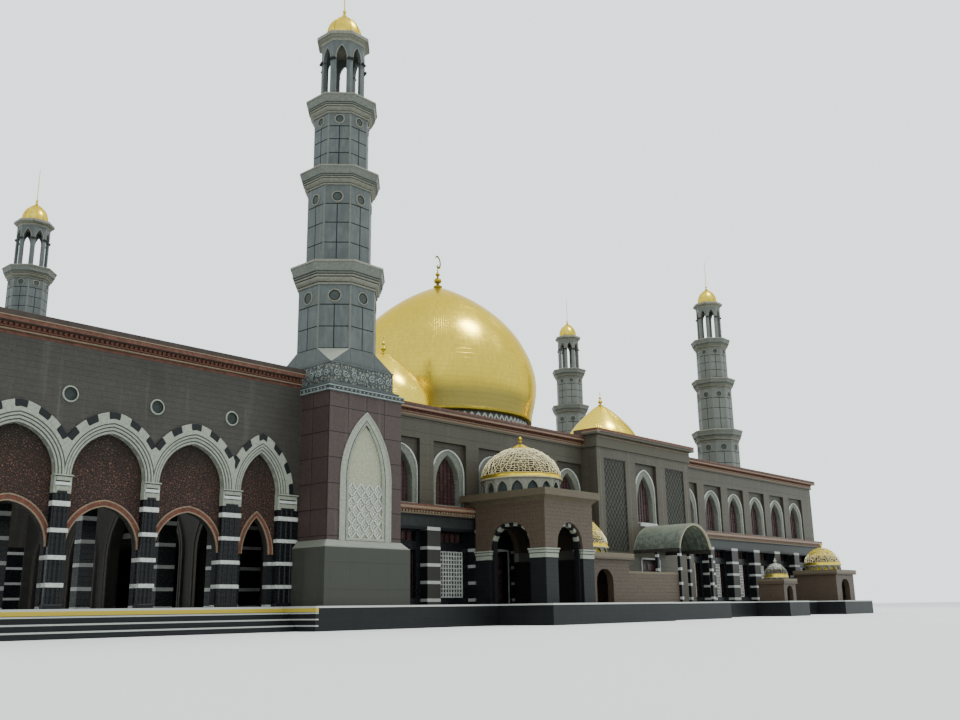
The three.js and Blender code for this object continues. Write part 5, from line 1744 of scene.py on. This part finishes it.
class MOSQUE_OT_pavilions(bpy.types.Operator):
    """Openwork domes of the annex, the end pavilion and the kiosk"""

    bl_idname = "mosque.pavilions"
    bl_label = "Pavilions"

    def execute(self, context):
        for name, x, y, radius, foot, rim, apex, count, seed in (
            ("annex", 19.7, -3.3, 2.1, 4.71, 5.2, 7.3, 16, 11),
            ("end_pavilion", 62.1, -3.2, 1.72, 4.31, 4.9, 6.6, 16, 12),
            ("kiosk", 47.7, -4.9, 1.0, 3.26, 3.47, 4.65, 12, 13),
        ):
            bm = bmesh.new()
            arcaded_drum(bm, x, y, radius * 1.04, foot, rim - 0.1, count, 1, 2)
            openwork_dome(bm, x, y, radius * 1.03, rim + 0.02, apex + 0.06, (0, 3, 4, 5), seed)
            net = "brass" if name != "kiosk" else "light"
            publish(f"{name}_dome_openwork", bm, finishes(net, "light", "grille", "brown", "gilt", "cream"))
        return {"FINISHED"}


class MOSQUE_OT_canopy(bpy.types.Operator):
    """Ribbed barrel canopy with a cream and gilt rim on banded posts"""

    bl_idname = "mosque.canopy"
    bl_label = "Canopy"

    def execute(self, context):
        bm = bmesh.new()
        y0, y1 = -5.7, -BAY_OUT - 0.005
        self.vault(bm, 2.6, 2.5, y0 + 0.112, y1 - 0.1, 0)
        self.vault(bm, 2.6, 2.48, y1 - 0.098, y1, 1)
        count = int((y1 - y0) / 0.42)
        for k in range(count + 1):
            y = y0 + 0.14 + (y1 - y0 - 0.2) * k / count
            self.vault(bm, 2.595, 2.45, y - 0.025, y + 0.025, 0)
        self.vault(bm, 2.6, 2.5, y0, y0 + 0.11, 1)
        self.vault(bm, 2.5, 2.44, y0 + 0.02, y0 + 0.16, 2)
        for side in (-1, 1):
            x = CANOPY_X + side * 2.43
            block(bm, x - 0.13, x + 0.13, y0 + 0.01, y1, 5.12, 5.4, 3, 0.02)
            for y in (y0, -3.7):
                block(bm, x - 0.13, x + 0.13, y, y + 0.26, 1.304, 5.13, 4, 0.02)
        looks = finishes("sheet", "moulding", "cream", "dark", "lower")
        publish("canopy_ribbed", bm, looks, ["canopy"])
        return {"FINISHED"}

    def vault(self, bm, outer, inner, y0, y1, finish):
        """Most of a half ring about the line at the springing of the canopy."""
        work = bmesh.new()
        corners = [(outer, y0), (outer, y1), (inner, y1), (inner, y0)]
        verts = [work.verts.new((r, y, 0)) for r, y in corners]
        edges = [work.edges.new(pair) for pair in zip(verts, verts[1:] + verts[:1])]
        bmesh.ops.rotate(work, verts=verts, cent=(0, 0, 0), matrix=Matrix.Rotation(math.radians(12), 3, (0, -1, 0)))
        bmesh.ops.spin(work, geom=verts + edges, cent=(0, 0, 0), axis=(0, -1, 0), angle=math.radians(156), steps=32)
        fill_ends(work)
        settle(bm, work, finish, Matrix.Translation((CANOPY_X, 0, CANOPY_SPRINGING)))


# Stage


class MOSQUE_OT_stage(bpy.types.Operator):
    """Pale floor, soft light and the camera"""

    bl_idname = "mosque.stage"
    bl_label = "Stage"

    def execute(self, context):
        scene = context.scene
        self.floor(scene)
        self.sky(scene)
        for name, power, size, place, target in (
            ("key", 2300, 3.0, (3.6, -5.8, 16.9), (0, 0, 1)),
            ("fill", 150, 14.0, (-16, -10, 8), (0, 0, 2)),
        ):
            light = bpy.data.lights.new(name, "AREA")
            light.energy, light.size = power, size
            lamp = bpy.data.objects.new(name, light)
            lamp.location = place
            lamp.rotation_euler = (Vector(target) - Vector(place)).to_track_quat("-Z", "Y").to_euler()
            scene.collection.objects.link(lamp)
        self.camera(scene)
        return {"FINISHED"}

    def floor(self, scene):
        bm = bmesh.new()
        bmesh.ops.create_grid(bm, x_segments=1, y_segments=1, size=150)
        mesh = bpy.data.meshes.new("floor")
        bm.to_mesh(mesh)
        bm.free()
        floor = bpy.data.objects.new("floor", mesh)
        f = Finish("floor")
        mesh.materials.append(f.done(f.mix(f.noise(0.05, 2), linear("c9ccc9"), linear("d2d4d0")), 0.8))
        scene.collection.objects.link(floor)

    def sky(self, scene):
        world = bpy.data.worlds.new("studio")
        world.use_nodes = True
        background = world.node_tree.nodes["Background"]
        background.inputs["Color"].default_value = (*linear("dee6e8"), 1)
        background.inputs["Strength"].default_value = 2.4
        scene.world = world

    def camera(self, scene):
        """Stands and looks as the photograph's camera did, found from its vanishing points."""
        azimuth, tilt, roll = (math.radians(a) for a in (48.3306, 14.2211, -0.8464))
        forward = Vector((math.sin(azimuth) * math.cos(tilt), math.cos(azimuth) * math.cos(tilt), math.sin(tilt)))
        level = Vector((math.cos(azimuth), -math.sin(azimuth), 0))
        above = level.cross(forward)
        right = level * math.cos(roll) + above * math.sin(roll)
        up = above * math.cos(roll) - level * math.sin(roll)
        turn = Matrix((right, up, -forward)).transposed().to_4x4()
        camera = bpy.data.objects.new("camera", bpy.data.cameras.new("camera"))
        camera.matrix_world = Matrix.Translation((-7.04607, -6.85240, 0.10619)) @ turn
        camera.data.sensor_fit = "HORIZONTAL"
        camera.data.sensor_width = 36.0
        camera.data.lens = 36.7325
        camera.data.clip_start, camera.data.clip_end = 0.05, 500
        scene.collection.objects.link(camera)
        scene.camera = camera


STEPS = (
    MOSQUE_OT_stonework, MOSQUE_OT_minarets, MOSQUE_OT_towers, MOSQUE_OT_arcade, MOSQUE_OT_cornices,
    MOSQUE_OT_windows, MOSQUE_OT_main_dome, MOSQUE_OT_corner_domes, MOSQUE_OT_porch, MOSQUE_OT_pavilions,
    MOSQUE_OT_canopy, MOSQUE_OT_stage,
)


class MOSQUE_PT_panel(bpy.types.Panel):
    """Lists the steps that dress the model, and their sizes and colours"""

    bl_label = "Mosque model"
    bl_idname = "MOSQUE_PT_panel"
    bl_space_type = "VIEW_3D"
    bl_region_type = "UI"
    bl_category = "Mosque"

    def draw(self, context):
        for group in (context.scene.mosque_sizes, context.scene.mosque_colours):
            box = self.layout.box()
            for name in type(group).__annotations__:
                box.prop(group, name)
        for step in STEPS:
            self.layout.operator(step.bl_idname)


CLASSES = (MosqueSizes, MosqueColours, *STEPS, MOSQUE_PT_panel)


def register():
    for cls in CLASSES:
        bpy.utils.register_class(cls)
    bpy.types.Scene.mosque_sizes = PointerProperty(type=MosqueSizes)
    bpy.types.Scene.mosque_colours = PointerProperty(type=MosqueColours)


def unregister():
    del bpy.types.Scene.mosque_colours
    del bpy.types.Scene.mosque_sizes
    for cls in reversed(CLASSES):
        bpy.utils.unregister_class(cls)


def main():
    register()
    for step in STEPS:
        group, name = step.bl_idname.split(".")
        getattr(getattr(bpy.ops, group), name)()


if __name__ == "__main__":
    main()
